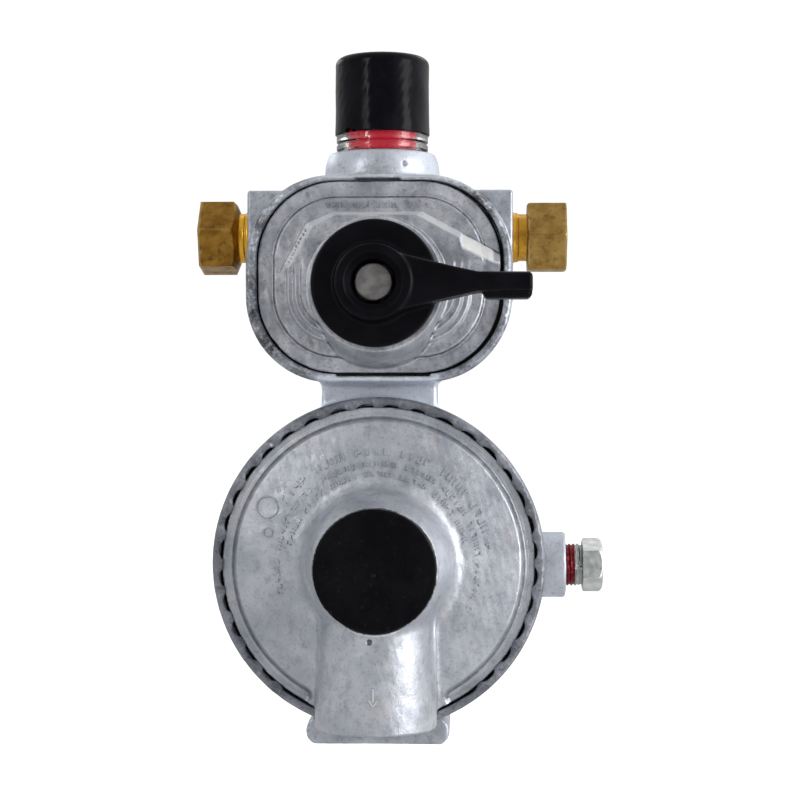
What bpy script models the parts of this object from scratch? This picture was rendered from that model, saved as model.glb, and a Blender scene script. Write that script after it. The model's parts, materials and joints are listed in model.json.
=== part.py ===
"""Two-stage automatic changeover regulator for propane, as an assembly of separate pieces.

Frame: +X towards the right-hand inlet, -Y towards the front, +Z up. The origin is where the second
stage's axis meets the back mounting face. Lengths in this file are millimetres, and MM turns them
into Blender's metres. "Forward" is the distance in front of the back mounting face, along -Y.
"""

import math

import bmesh
import bpy
from mathutils import Matrix, Vector

MM = 0.001
GAP = 0.3  # between pieces that touch or run in each other

# Driving dimensions of the casting
FLANGE_R = 38.5  # second stage, outside of the rolled rim
FIRST_HALF_W = 30.9  # first stage pan, a rounded rectangle
FIRST_HALF_H = 24.1
FIRST_CORNER = 20.0
FIRST_Z = 65.9
BLOCK_HALF_W = 31.2  # inlet block across both inlet faces
KNOB_Z = 63.8
INLET_FORWARD = 13.5
INLET_Z = 76.6
INDICATOR_X = 0.25
INDICATOR_FORWARD = 16.5
TAP_FORWARD = 14.0
TAP_Z = -1.65
OUTLET_FORWARD = 16.0
FOOT_BOTTOM = -42.5
VALVE_X = 10.5  # inlet valves, either side of the knob's axis
ORIFICE_FORWARD = 17.5  # second stage valve, on a vertical axis
LEVER_PIVOT = (13.0, 12.0)  # forward, z

# Round pieces: segments for a large, a medium and a small turned shape
LARGE, MEDIUM, SMALL = 40, 24, 12

AXES = {
    "up": Matrix.Identity(3),
    "front": Matrix.Rotation(math.radians(90), 3, "X"),
    "right": Matrix.Rotation(math.radians(90), 3, "Y"),
    "left": Matrix.Rotation(math.radians(-90), 3, "Y"),
}


def clear_scene():
    for obj in list(bpy.data.objects):
        bpy.data.objects.remove(obj)


def collection(name):
    made = bpy.data.collections.new(name)
    bpy.context.scene.collection.children.link(made)
    return made


clear_scene()
PARTS = collection("changeover_regulator")
CUTTERS = collection("cutters")


def material(name, colour, roughness, metallic=0.0, alpha=1.0):
    made = bpy.data.materials.new(name)
    made.use_nodes = True
    shader = made.node_tree.nodes["Principled BSDF"]
    shader.inputs["Base Color"].default_value = (*colour, 1.0)
    shader.inputs["Roughness"].default_value = roughness
    shader.inputs["Metallic"].default_value = metallic
    shader.inputs["Alpha"].default_value = alpha
    return made


CAST = material("cast_aluminium", (0.50, 0.52, 0.55), 0.45, 1.0)
BRASS = material("brass", (0.62, 0.42, 0.14), 0.38, 1.0)
STEEL = material("zinc_steel", (0.62, 0.63, 0.62), 0.35, 1.0)
BLACK = material("black_plastic", (0.012, 0.012, 0.015), 0.4)
WHITE = material("natural_plastic", (0.80, 0.79, 0.74), 0.5)
RED = material("red_plastic", (0.60, 0.01, 0.02), 0.4)
GREEN = material("green_plastic", (0.02, 0.35, 0.10), 0.4)
CLEAR = material("clear_plastic", (0.85, 0.88, 0.88), 0.08, alpha=0.35)
RUBBER = material("black_rubber", (0.02, 0.02, 0.02), 0.8)


# ---------------------------------------------------------------- shapes


def place(obj, axis, at, turn=0.0):
    """Puts the object at (x, forward, z), with its local +Z along the named axis."""
    spin = Matrix.Rotation(math.radians(turn), 3, "Z")
    obj.rotation_euler = (AXES[axis] @ spin).to_euler()
    obj.location = Vector((at[0], -at[1], at[2])) * MM


def add(name, mesh, look):
    """A new object: a named part where it has a material, and a helper where it has none."""
    obj = bpy.data.objects.new(name, mesh)
    if look:
        PARTS.objects.link(obj)
        mesh.materials.append(look)
        return obj
    CUTTERS.objects.link(obj)
    obj.hide_render = True
    obj.display_type = "WIRE"
    return obj


def settle(obj):
    """Replaces the object's mesh by what its modifiers make of it."""
    graph = bpy.context.evaluated_depsgraph_get()
    made = bpy.data.meshes.new_from_object(obj.evaluated_get(graph))
    obj.modifiers.clear()
    obj.data = made
    obj.data.shade_smooth()
    obj.data.set_sharp_from_angle(angle=math.radians(35))


def mesh_of_curve(curve):
    """The closed mesh of a filled or bevelled curve, with its caps welded."""
    guide = bpy.data.objects.new("guide", curve)
    CUTTERS.objects.link(guide)
    graph = bpy.context.evaluated_depsgraph_get()
    mesh = bpy.data.meshes.new_from_object(guide.evaluated_get(graph))
    bpy.data.objects.remove(guide)
    shape = bmesh.new()
    shape.from_mesh(mesh)
    bmesh.ops.remove_doubles(shape, verts=shape.verts, dist=1e-6)
    bmesh.ops.recalc_face_normals(shape, faces=shape.faces)
    shape.to_mesh(mesh)
    shape.free()
    return mesh


def turned(name, profile, look=None, segments=MEDIUM, axis="front", at=(0, 0, 0), turn=0.0):
    """A turned shape from (radius, height) points, with heights along the axis from the origin."""
    ring = profile[0][0] > 0 or profile[-1][0] > 0
    after = profile[1:] + profile[:1]
    area = sum(a[0] * b[1] - b[0] * a[1] for a, b in zip(profile, after))
    points = profile[::-1] if area > 0 else profile
    count = len(points)
    edges = [(i, (i + 1) % count) for i in range(count if ring else count - 1)]
    mesh = bpy.data.meshes.new(name)
    mesh.from_pydata([(r * MM, 0, h * MM) for r, h in points], edges, [])
    obj = add(name, mesh, look)
    screw = obj.modifiers.new("Turn", "SCREW")
    screw.axis = "Z"
    screw.angle = math.tau
    screw.steps = screw.render_steps = segments
    screw.use_merge_vertices = True
    screw.merge_threshold = 1e-6
    place(obj, axis, at, turn)
    settle(obj)
    return obj


def rod(name, radius, low, high, look=None, segments=SMALL, axis="front", at=(0, 0, 0)):
    profile = [(0, high), (radius, high), (radius, low), (0, low)]
    return turned(name, profile, look, segments, axis, at)


def tube(name, inner, outer, low, high, look=None, segments=SMALL, axis="front", at=(0, 0, 0)):
    profile = [(inner, high), (outer, high), (outer, low), (inner, low)]
    return turned(name, profile, look, segments, axis, at)


def o_ring(name, major, minor, height, look, axis="front", at=(0, 0, 0), segments=SMALL):
    steps = 6
    angles = [math.tau * i / steps for i in range(steps)]
    profile = [(major + minor * math.cos(a), height + minor * math.sin(a)) for a in angles]
    return turned(name, profile, look, segments, axis, at)


def bends_at(before, here, after):
    ahead = (after[0] - here[0]) * (here[1] - before[1])
    return abs((here[0] - before[0]) * (after[1] - here[1]) - ahead) > 1e-6


def extruded(name, outline, low, high, look=None, axis="front", at=(0, 0, 0)):
    """A flat outline of (u, v) points, as thick as low to high along the axis."""
    sides = zip(outline[-1:] + outline[:-1], outline, outline[1:] + outline[:1])
    outline = [here for before, here, after in sides if bends_at(before, here, after)]
    curve = bpy.data.curves.new(name, "CURVE")
    curve.dimensions = "2D"
    curve.fill_mode = "BOTH"
    curve.extrude = (high - low) / 2 * MM
    spline = curve.splines.new("POLY")
    spline.points.add(len(outline) - 1)
    for point, (u, v) in zip(spline.points, outline):
        point.co = (u * MM, v * MM, 0, 1)
    spline.use_cyclic_u = True
    mesh = mesh_of_curve(curve)
    mesh.transform(Matrix.Translation((0, 0, (low + high) / 2 * MM)))
    obj = add(name, mesh, look)
    place(obj, axis, at)
    return obj


def box(name, x, forward, z, look=None, bevel=0.0):
    """A box between (low, high) pairs, with its edges rounded by a Bevel modifier."""
    shape = bmesh.new()
    bmesh.ops.create_cube(shape, size=1.0)
    size = Vector((x[1] - x[0], forward[1] - forward[0], z[1] - z[0])) * MM
    bmesh.ops.scale(shape, vec=size, verts=shape.verts)
    mesh = bpy.data.meshes.new(name)
    shape.to_mesh(mesh)
    shape.free()
    obj = add(name, mesh, look)
    obj.location = Vector((sum(x), -sum(forward), sum(z))) / 2 * MM
    if bevel:
        rounding = obj.modifiers.new("Round", "BEVEL")
        rounding.width = bevel * MM
        rounding.segments = 1
        settle(obj)
    return obj


def coil(name, mean, wire, turns, low, high, look, axis="front", at=(0, 0, 0)):
    """A compression spring whose wire fills the height from low to high."""
    per_turn = 8
    count = round(turns * per_turn)
    curve = bpy.data.curves.new(name, "CURVE")
    curve.dimensions = "3D"
    curve.bevel_depth = wire * MM
    curve.bevel_resolution = 0
    curve.use_fill_caps = True
    spline = curve.splines.new("POLY")
    spline.points.add(count)
    for i, point in enumerate(spline.points):
        angle = math.tau * i / per_turn
        height = low + wire + (high - low - 2 * wire) * i / count
        x, y = mean * math.cos(angle), mean * math.sin(angle)
        point.co = (x * MM, y * MM, height * MM, 1)
    obj = add(name, mesh_of_curve(curve), look)
    place(obj, axis, at)
    return obj


def oblong_radius(angle, half_w, half_h, corner):
    """How far a rounded rectangle reaches from its centre in one direction."""
    c, s = abs(math.cos(angle)), abs(math.sin(angle))
    core_w, core_h = half_w - corner, half_h - corner
    if c > 0 and half_w * s / c <= core_h:
        return half_w / c
    if s > 0 and half_h * c / s <= core_w:
        return half_h / s
    along = c * core_w + s * core_h
    return along + math.sqrt(along**2 - core_w**2 - core_h**2 + corner**2)


def oblong(inset, count=40):
    """The first stage's outline, moved in by inset, round the pan's centre."""
    corner = max(FIRST_CORNER - inset, 4.0)
    angles = [math.tau * i / count for i in range(count)]
    reach = [oblong_radius(a, FIRST_HALF_W - inset, FIRST_HALF_H - inset, corner) for a in angles]
    return [(r * math.cos(a), r * math.sin(a)) for r, a in zip(reach, angles)]


def circle(radius, count, centre=(0.0, 0.0)):
    angles = [math.tau * i / count for i in range(count)]
    return [(centre[0] + radius * math.cos(a), centre[1] + radius * math.sin(a)) for a in angles]


def loft(name, rings, look, at):
    """A ring-shaped skin through (outline, forward) sections, closed from the last to the first."""
    count = len(rings[0][0])
    points = [(u * MM, v * MM, h * MM) for outline, h in rings for u, v in outline]
    faces = []
    for i in range(len(rings)):
        a, b = i * count, (i + 1) % len(rings) * count
        faces += [(a + j, a + (j + 1) % count, b + (j + 1) % count, b + j) for j in range(count)]
    mesh = bpy.data.meshes.new(name)
    mesh.from_pydata(points, [], faces)
    obj = add(name, mesh, look)
    place(obj, "front", at)
    return obj


def combine(obj, operation, others):
    for i, other in enumerate(others):
        step = obj.modifiers.new(f"{operation.title()} {i}", "BOOLEAN")
        step.operation = operation
        step.object = other
        step.solver = "EXACT"
    settle(obj)
    return obj


def join(obj, *others):
    return combine(obj, "UNION", others)


def cut(obj, *others):
    return combine(obj, "DIFFERENCE", others)


def carried_by(name, at, *pieces):
    """Parents the pieces to an empty that stands on their joint's axis."""
    empty = bpy.data.objects.new(name, None)
    empty.location = Vector((at[0], -at[1], at[2])) * MM
    empty.empty_display_size = 0.01
    PARTS.objects.link(empty)
    bpy.context.view_layer.update()
    for piece in pieces:
        piece.parent = empty
        piece.matrix_parent_inverse = empty.matrix_world.inverted()


# ---------------------------------------------------------------- casting

KNOB = (0, 0, KNOB_Z)
FIRST = (0, 0, FIRST_Z)
INDICATOR = (INDICATOR_X, INDICATOR_FORWARD, 0)
INLET = (0, INLET_FORWARD, INLET_Z)
TAP = (0, TAP_FORWARD, TAP_Z)
OUTLET = (0, OUTLET_FORWARD, 0)
ORIFICE = (0, ORIFICE_FORWARD, 0)

LEDGE = 26.0  # second stage: where the diaphragm's rim sits
FLOOR = 7.5  # second stage: bottom of the bowl
CAVITY_R = 31.5
FIRST_FLOOR = 17.0  # first stage: bottom of the valve chamber
FIRST_LEDGE = 25.0
FIRST_LIP = 31.0  # front of the rolled rim


def casting():
    """Both stages' housings, the inlet block, the neck and the bosses, in one die casting."""
    bowl = [(0, 32.6), (FLANGE_R - 0.4, 32.6), (FLANGE_R, 32.2), (FLANGE_R, 23.5)]
    bowl += [(36.5, 21.0), (35.5, 7.5), (31.0, 3.0), (0, 3.0)]
    body = turned("main_body", bowl, CAST, LARGE)
    boss = [(0, 96.2), (12.4, 96.2), (13.4, 95.7), (13.65, 94.6), (13.65, 84.0), (0, 84.0)]
    join(
        body,
        extruded("pan", oblong(0), 3.2, FIRST_LIP, at=FIRST),
        box("block", (-BLOCK_HALF_W, BLOCK_HALF_W), (4.2, 24.6), (60.5, 87.0), bevel=0.8),
        box("neck", (-13.7, 13.3), (5.0, 24.0), (30.0, 46.0), bevel=0.8),
        box("column", (-13.5, 13.5), (4.4, 28.0), (-41.5, -24.0), bevel=1.0),
        box("foot", (-16.7, 16.2), (4.0, 28.5), (FOOT_BOTTOM, -37.0), bevel=1.4),
        rod("tap_boss", 7.55, 30.0, 43.3, segments=MEDIUM, axis="right", at=TAP),
        turned("indicator_boss", boss, None, 28, "up", INDICATOR),
        box("back_pad", (-11.0, 11.0), (0.0, 6.0), (-8.0, 68.0)),
    )
    second = [(0, 34.0), (35.8, 34.0), (35.8, 31.3), (37.0, 31.3), (37.0, LEDGE)]
    second += [(CAVITY_R, LEDGE), (CAVITY_R, FLOOR), (0, FLOOR)]
    window_seat = [(0, 97.5), (11.2, 97.5), (11.2, 95.2), (9.9, 95.2), (9.9, 89.2)]
    window_seat += [(5.6, 89.2), (5.6, 81.0), (0, 81.0)]
    outlet = [(0, -28.0), (6.0, -28.0), (6.0, -33.6), (7.7, -33.6), (8.4, -44.0), (0, -44.0)]
    tap = [(0, 44.5), (5.4, 44.5), (5.4, 35.3), (1.2, 35.3), (1.2, 30.0), (0, 30.0)]
    inlet = [(0, 32.5), (7.15, 32.5), (7.15, 20.8), (2.6, 20.8), (2.6, 9.0), (0, 9.0)]
    valve = [(0, 18.0), (5.3, 18.0), (5.3, 12.7), (4.6, 12.7), (4.6, 4.8), (0, 4.8)]
    valve_at = [(side * VALVE_X, 0, KNOB_Z) for side in (-1, 1)]
    link_at = [(side * VALVE_X, 11.5, 0) for side in (-1, 1)]
    screw_at = [(side * 9.0, 0, 17.2) for side in (-1, 1)]
    cut(
        body,
        turned("second_chamber", second, None, LARGE),
        extruded("first_lip_opening", oblong(3.0), 29.0, 33.0, at=FIRST),
        extruded("first_pocket", oblong(1.5), FIRST_LEDGE, 29.6, at=FIRST),
        extruded("first_recess", oblong(5.5), 23.0, 26.0, at=FIRST),
        rod("first_chamber", 16.0, FIRST_FLOOR, 24.0, segments=MEDIUM, at=KNOB),
        turned("window_seat", window_seat, None, MEDIUM, "up", INDICATOR, 3.0),
        turned("outlet_bore", outlet, None, 20, "up", OUTLET),
        turned("tap_bore", tap, None, 16, "right", TAP, 5.0),
        turned("inlet_bore_right", inlet, None, 16, "right", INLET),
        turned("inlet_bore_left", inlet, None, 16, "left", INLET),
        rod("transfer_passage", 2.2, 34.0, 52.0, segments=10, axis="up", at=ORIFICE),
        rod("orifice_bore", 4.9, 29.0, 36.6, axis="up", at=ORIFICE),
        rod("sensing_riser", 1.2, 76.6, 82.0, segments=8, axis="up", at=(0, INLET_FORWARD, 0)),
        rod("sensing_cross", 1.2, -0.5, 10.5, segments=8, axis="right", at=(0, 13.5, 77.6)),
        *[turned("valve_bore", valve, None, 14, "front", at) for at in valve_at],
        *[rod("valve_link", 1.8, KNOB_Z, 77.0, segments=10, axis="up", at=at) for at in link_at],
        *[rod("screw_hole", 1.5, 4.2, 8.5, segments=10, at=at) for at in screw_at],
        *[rod("mount_hole", 2.75, -1.0, 6.0, at=(0, 0, z)) for z in (14.0, 54.0)],
    )
    return body


casting()


# ---------------------------------------------------------------- first stage


def first_stage_cover():
    """The oblong cover: a flange under the rolled rim, a bead, then a slope up to a round tower."""
    count = len(oblong(0))
    centre = (0.0, KNOB_Z - FIRST_Z)

    def mixed(share, inset, radius):
        """Part of the way from the oblong to the tower's circle."""
        pairs = zip(oblong(inset), circle(radius, count, centre))
        return [tuple(a + (b - a) * share for a, b in zip(p, q)) for p, q in pairs]

    rings = [
        (oblong(1.8), 26.8),
        (oblong(1.8), 29.3),
        (oblong(3.6), 29.3),
        (oblong(3.8), 30.4),
        (oblong(6.6), 30.4),
        (oblong(7.2), 29.6),
        (mixed(0.45, 7.2, 18.4), 31.2),
        (circle(18.4, count, centre), 34.5),
        (circle(15.9, count, centre), 43.6),
        (circle(15.2, count, centre), 44.3),
        (circle(7.7, count, centre), 44.3),
        (circle(7.7, count, centre), 42.3),
        (circle(13.2, count, centre), 42.3),
        (circle(16.2, count, centre), 32.6),
        (mixed(0.45, 9.0, 16.4), 29.4),
        (oblong(6.5), 27.8),
        (oblong(6.0), 26.8),
    ]
    return loft("first_stage_cover", rings, CAST, FIRST)


def first_stage():
    first_stage_cover()
    sheet = extruded("first_stage_diaphragm", oblong(1.8, 24), 25.3, 26.5, RUBBER, at=FIRST)
    cut(sheet, rod("sheet_hole", 3.3, 20.0, 30.0, at=KNOB))
    hub = [(3.3, 26.8), (12.0, 26.8), (12.0, 28.2), (6.0, 28.2), (6.0, 31.0), (4.7, 31.0)]
    hub += [(4.7, 28.6), (3.3, 28.6)]
    plate = turned("first_stage_diaphragm_plate", hub, STEEL, 24, at=KNOB)
    coil("first_stage_spring", 10.4, 0.8, 4, 28.5, 40.6, STEEL, at=KNOB)
    tube("first_stage_spring_seat", 9.3, 12.5, 40.9, 42.0, STEEL, 24, at=KNOB)
    seal = o_ring("spindle_seal", 3.85, 0.55, 29.6, RUBBER, at=KNOB)
    carried_by("first_stage_travel", (0, 26.0, KNOB_Z), plate, seal)


first_stage()


# ---------------------------------------------------------------- selector

LEVER_TIP = 34.8


def selector_knob():
    """Round base, raised hub with a recess, a lever arm, and a sleeve that runs in the cover."""
    profile = [(4.6, 50.0), (4.6, 54.0), (6.2, 54.6), (6.4, 57.0), (7.8, 57.0), (8.3, 56.4)]
    profile += [(8.6, 51.8), (9.4, 50.8), (13.6, 50.0), (14.2, 49.2), (14.2, 44.6), (7.4, 44.6)]
    profile += [(7.4, 42.0), (6.9, 42.0), (6.9, 40.5), (7.4, 40.5), (7.4, 39.5), (4.6, 39.5)]
    knob = turned("selector_knob", profile, BLACK, 32, at=KNOB)
    arm = [(7.0, 6.0), (13.9, 4.4), (22.8, 2.3), (33.2, 2.3), (LEVER_TIP - 0.4, 1.4)]
    arm += [(LEVER_TIP, 0.0), (LEVER_TIP - 0.4, -1.6), (33.2, -2.2), (22.8, -2.5), (13.9, -4.3)]
    arm += [(7.0, -6.0)]
    paddle = [(24.0, 2.1), (33.4, 2.1), (LEVER_TIP - 0.2, 0.8), (LEVER_TIP - 0.2, -2.2)]
    paddle += [(33.2, -3.7), (24.8, -3.7), (23.6, -2.0)]
    join(
        knob,
        extruded("arm", arm, 49.5, 56.6, at=KNOB),
        extruded("paddle", paddle, 46.0, 54.5, at=KNOB),
    )
    half = 4.6
    socket = box("drive_socket", (-half, half), (38.0, 51.6), (KNOB_Z - half, KNOB_Z + half))
    return cut(knob, socket)


def selector_spindle():
    """Turned shaft with a square drive in the knob, a round end, and a head riveted over the cam."""
    profile = [(0, 54.4), (3.8, 54.4), (4.2, 54.0), (4.2, 49.0), (3.0, 49.0), (3.0, 22.7)]
    profile += [(2.2, 22.7), (2.2, 20.7), (3.6, 20.7), (3.6, 19.3), (0, 19.3)]
    spindle = turned("selector_spindle", profile, STEEL, at=KNOB, segments=16)
    half = 4.3
    drive = box("drive", (-half, half), (36.0, 50.0), (KNOB_Z - half, KNOB_Z + half))
    return join(spindle, drive)


def selector_cam():
    """Disc with a raised sector on its back, which works the valve on the lever's side."""
    cam = tube("selector_cam", 2.5, 14.5, 21.0, 22.4, STEEL, 32, at=KNOB)
    angles = [math.radians(a) for a in range(-60, 61, 15)]
    outer = [(14.0 * math.cos(a), 14.0 * math.sin(a)) for a in angles]
    inner = [(7.5 * math.cos(a), 7.5 * math.sin(a)) for a in reversed(angles)]
    return join(cam, extruded("lobe", outer + inner, 20.3, 21.4, at=KNOB))


def selector():
    knob = selector_knob()
    ring = tube("knob_retaining_ring", 7.2, 8.8, 40.8, 41.7, STEEL, 24, at=KNOB)
    spindle = selector_spindle()
    cam = selector_cam()
    carried_by("selector_axis", (0, 50.0, KNOB_Z), knob, ring)
    carried_by("spindle_axis", (0, 40.0, KNOB_Z), spindle, cam)


selector()


# ---------------------------------------------------------------- inlets

HEX_CORNER = 9.165  # 5/8 inch across flats


def inlet_fitting(name, axis, hex_start, hex_end, neck, turn):
    """Brass inverted-flare adapter: taper thread, neck, hexagon, flare seat in its socket."""
    core = 7.7
    seat = hex_end - 8.5
    profile = [(4.2, 21.5), (6.6, 21.5), (6.8, 30.6), (neck, 31.4), (neck, hex_start)]
    profile += [(core, hex_start), (core, hex_end), (5.9, hex_end), (5.3, hex_end - 0.6)]
    profile += [(5.3, seat), (4.2, seat), (2.6, seat + 2.0), (2.0, seat + 2.0), (2.0, 25.5)]
    profile += [(4.2, 25.5)]
    fitting = turned(name, profile, BRASS, 20, axis, INLET)
    low, high = hex_start + 0.02, hex_end - 0.02
    corner = HEX_CORNER - 0.6
    hexagon = [(7.3, low), (corner, low), (HEX_CORNER, low + 0.7), (HEX_CORNER, high - 0.7)]
    hexagon += [(corner, high), (7.3, high)]
    return join(fitting, turned(name + "_hex", hexagon, None, 6, axis, INLET, turn))


def inlet_valve(side, sign):
    """Seat, poppet with its rubber disc, and spring, under one end of the selector's cam."""
    at = (sign * VALVE_X, 0, KNOB_Z)
    seat = [(1.4, 13.0), (5.0, 13.0), (5.0, 19.0), (1.4, 19.0)]
    turned(f"{side}_inlet_valve_seat", seat, BRASS, SMALL, at=at)
    body = [(0, 20.0), (0.8, 20.0), (0.8, 10.4), (3.6, 10.4), (3.6, 8.0), (0, 8.0)]
    poppet = turned(f"{side}_inlet_poppet", body, BRASS, SMALL, at=at)
    disc = tube(f"{side}_poppet_disc", 1.1, 3.4, 10.7, 11.7, RUBBER, SMALL, at=at)
    coil(f"{side}_poppet_spring", 2.3, 0.3, 2.5, 5.1, 7.7, STEEL, at=at)
    carried_by(f"{side}_poppet_axis", (at[0], 10.0, at[2]), poppet, disc)


def inlets():
    inlet_fitting("right_inlet_fitting", "right", 34.75, 44.1, 5.7, 30)
    inlet_fitting("left_inlet_fitting", "left", 34.0, 43.4, 6.3, 37)
    for side, sign in (("left", -1), ("right", 1)):
        rod(f"{side}_inlet_filter", 3.9, 21.8, 25.0, BRASS, SMALL, side, INLET)
        inlet_valve(side, sign)


inlets()


# ---------------------------------------------------------------- indicator


def indicator():
    """Clear window screwed into the top boss, its black cap, and the sprung piston inside."""
    window = [(0, 112.6), (9.8, 112.6), (9.8, 100.4), (10.9, 100.4), (10.9, 97.4)]
    window += [(10.65, 97.2), (10.9, 97.0), (10.9, 96.5), (9.6, 96.5), (9.6, 90.9)]
    window += [(8.8, 90.9), (8.8, 111.2), (0, 111.2)]
    turned("indicator_window", window, CLEAR, MEDIUM, "up", INDICATOR)
    cap = [(0, 117.8), (9.0, 117.8), (10.1, 116.7), (10.1, 100.7), (11.05, 100.7)]
    cap += [(11.05, 115.8), (10.7, 117.7), (9.5, 118.9), (7.0, 119.4), (0, 119.55)]
    turned("indicator_cap", cap, BLACK, 28, "up", INDICATOR)
    o_ring("indicator_window_seal", 10.5, 0.42, 95.85, RUBBER, "up", INDICATOR, 20)
    tube("indicator_guide", 2.0, 9.6, 89.5, 90.6, BRASS, 20, "up", INDICATOR)
    sleeve = [(1.9, 102.4), (7.6, 102.4), (8.25, 101.8), (8.25, 96.0), (7.2, 96.0), (7.2, 101.2)]
    sleeve += [(1.9, 101.2)]
    red = turned("indicator_sleeve", sleeve, RED, MEDIUM, "up", INDICATOR)
    green = tube("indicator_green_band", 7.2, 8.25, 91.2, 95.7, GREEN, MEDIUM, "up", INDICATOR)
    piston = [(0, 103.0), (1.6, 103.0), (1.6, 84.5), (5.3, 84.5), (5.3, 83.9), (4.2, 83.9)]
    piston += [(4.2, 82.6), (5.3, 82.6), (5.3, 82.0), (0, 82.0)]
    stem = turned("indicator_piston", piston, WHITE, SMALL, "up", INDICATOR)
    seal = o_ring("indicator_piston_seal", 4.9, 0.5, 83.25, RUBBER, "up", INDICATOR)
    coil("indicator_spring", 3.6, 0.35, 3, 84.8, 89.2, STEEL, "up", INDICATOR)
    foot = (INDICATOR_X, INDICATOR_FORWARD, 82.0)
    carried_by("indicator_rise", foot, red, green, stem, seal)


indicator()


# ---------------------------------------------------------------- second stage

TUBE_R = 13.5  # vent tube on the bonnet
TUBE_FORWARD = 36.2
VENT_FORWARD = 41.0
HUB_TOP = 50.0


def second_stage_bonnet():
    """Round cover: rim under the rolled lip, bead, shallow slope, hub, and the vent tube."""
    outside = [(0, HUB_TOP), (14.8, HUB_TOP), (16.4, 42.0), (18.2, 37.4), (21.5, 35.0)]
    outside += [(33.0, 32.4), (33.8, 32.0), (34.4, 33.1), (35.4, 32.8), (35.4, 31.0)]
    outside += [(36.7, 31.0), (36.7, 28.0), (0, 28.0)]
    bonnet = turned("second_stage_bonnet", outside, CAST, LARGE)
    steps = 10
    bends = [math.pi * (1 + i / steps) for i in range(steps + 1)]
    front = [(TUBE_R * math.cos(a), -TUBE_FORWARD + TUBE_R * math.sin(a)) for a in bends]
    vent_tube = [(-TUBE_R, -32.9), *front, (TUBE_R, -32.9)]
    join(bonnet, extruded("vent_tube", vent_tube, -36.6, 0.0, axis="up"))
    inside = [(0, 51.0), (14.05, 51.0), (14.05, 48.3), (12.5, 48.3), (12.5, 38.0), (13.4, 37.0)]
    inside += [(19.0, 32.6), (32.5, 30.0), (32.5, 27.0), (0, 27.0)]
    vent = [(0, -14.0), (6.0, -14.0), (6.0, -30.5), (7.2, -30.5), (7.2, -38.0), (0, -38.0)]
    return cut(
        bonnet,
        turned("spring_chamber", inside, None, LARGE, turn=180 / LARGE),
        turned("vent_bore", vent, None, 18, "up", (0, VENT_FORWARD, 0)),
    )


def second_stage_trim():
    """What is fitted to the bonnet: closing cap, adjusting screw, vent screen."""
    cap = [(0, 50.3), (13.3, 50.3), (13.75, 49.9), (13.75, 48.6), (12.2, 48.6), (12.2, 45.6)]
    cap += [(10.8, 45.6), (10.8, 48.8), (0, 48.8)]
    carried_by("closing_cap_pull", (0, 49.0, 0), turned("closing_cap", cap, BLACK, 28))
    screw = rod("adjusting_screw", 12.2, 40.0, 43.6, WHITE, MEDIUM)
    key = turned("key_socket", [(0, 45.0), (5.77, 45.0), (5.77, 38.0), (0, 38.0)], None, 6)
    cut(screw, key)
    washer = tube("adjuster_spring_seat", 5.2, 11.6, 38.2, 39.7, STEEL, 24)
    carried_by("adjuster_turn", (0, 42.0, 0), screw)
    carried_by("adjuster_advance", (0, 39.0, 0), washer)
    at = (0, VENT_FORWARD, 0)
    rod("vent_screen", 6.9, -31.2, -30.8, STEEL, 20, "up", at)
    tube("vent_screen_ring", 5.6, 6.9, -33.0, -31.5, STEEL, 20, "up", at)


def diaphragm_group():
    """Diaphragm and plate, and the relief stem that ties them to the valve lever."""
    sheet = [(2.2, 25.5), (21.0, 25.5), (23.0, 26.6), (25.5, 28.4), (28.0, 28.4), (30.0, 27.0)]
    sheet += [(31.2, 26.3), (36.6, 26.3), (36.6, 27.7), (31.8, 27.7), (30.8, 28.3), (28.4, 29.6)]
    sheet += [(25.0, 29.6), (22.2, 27.6), (20.8, 26.7), (2.2, 26.7)]
    turned("second_stage_diaphragm", sheet, RUBBER, 32)
    plate = tube("second_stage_diaphragm_plate", 1.95, 20.0, 27.0, 28.2, STEEL, 32)
    stem = [(0, 37.2), (1.6, 37.2), (1.6, 25.2), (5.0, 25.2), (5.0, 24.0), (1.6, 24.0)]
    stem += [(1.6, 18.0), (3.2, 18.0), (3.2, 10.0), (0, 10.0)]
    relief = turned("relief_stem", stem, STEEL, SMALL)
    cut(relief, box("lever_slot", (-1.3, 1.3), (12.0, 15.9), (-5.0, 5.0)))
    nut = tube("relief_spring_nut", 1.9, 4.4, 34.5, 36.4, BRASS, 6)
    coil("relief_spring", 3.2, 0.4, 4, 28.5, 34.2, STEEL)
    coil("main_spring", 9.4, 0.75, 3.5, 28.5, 37.9, STEEL)
    carried_by("relief_lift", (0, 27.0, 0), plate)
    carried_by("second_stage_travel", (0, 20.0, 0), relief, nut)


def side_outline(points):
    """(forward, z) points as an outline for a shape extruded along +X."""
    return [(-z, -forward) for forward, z in points]


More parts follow.
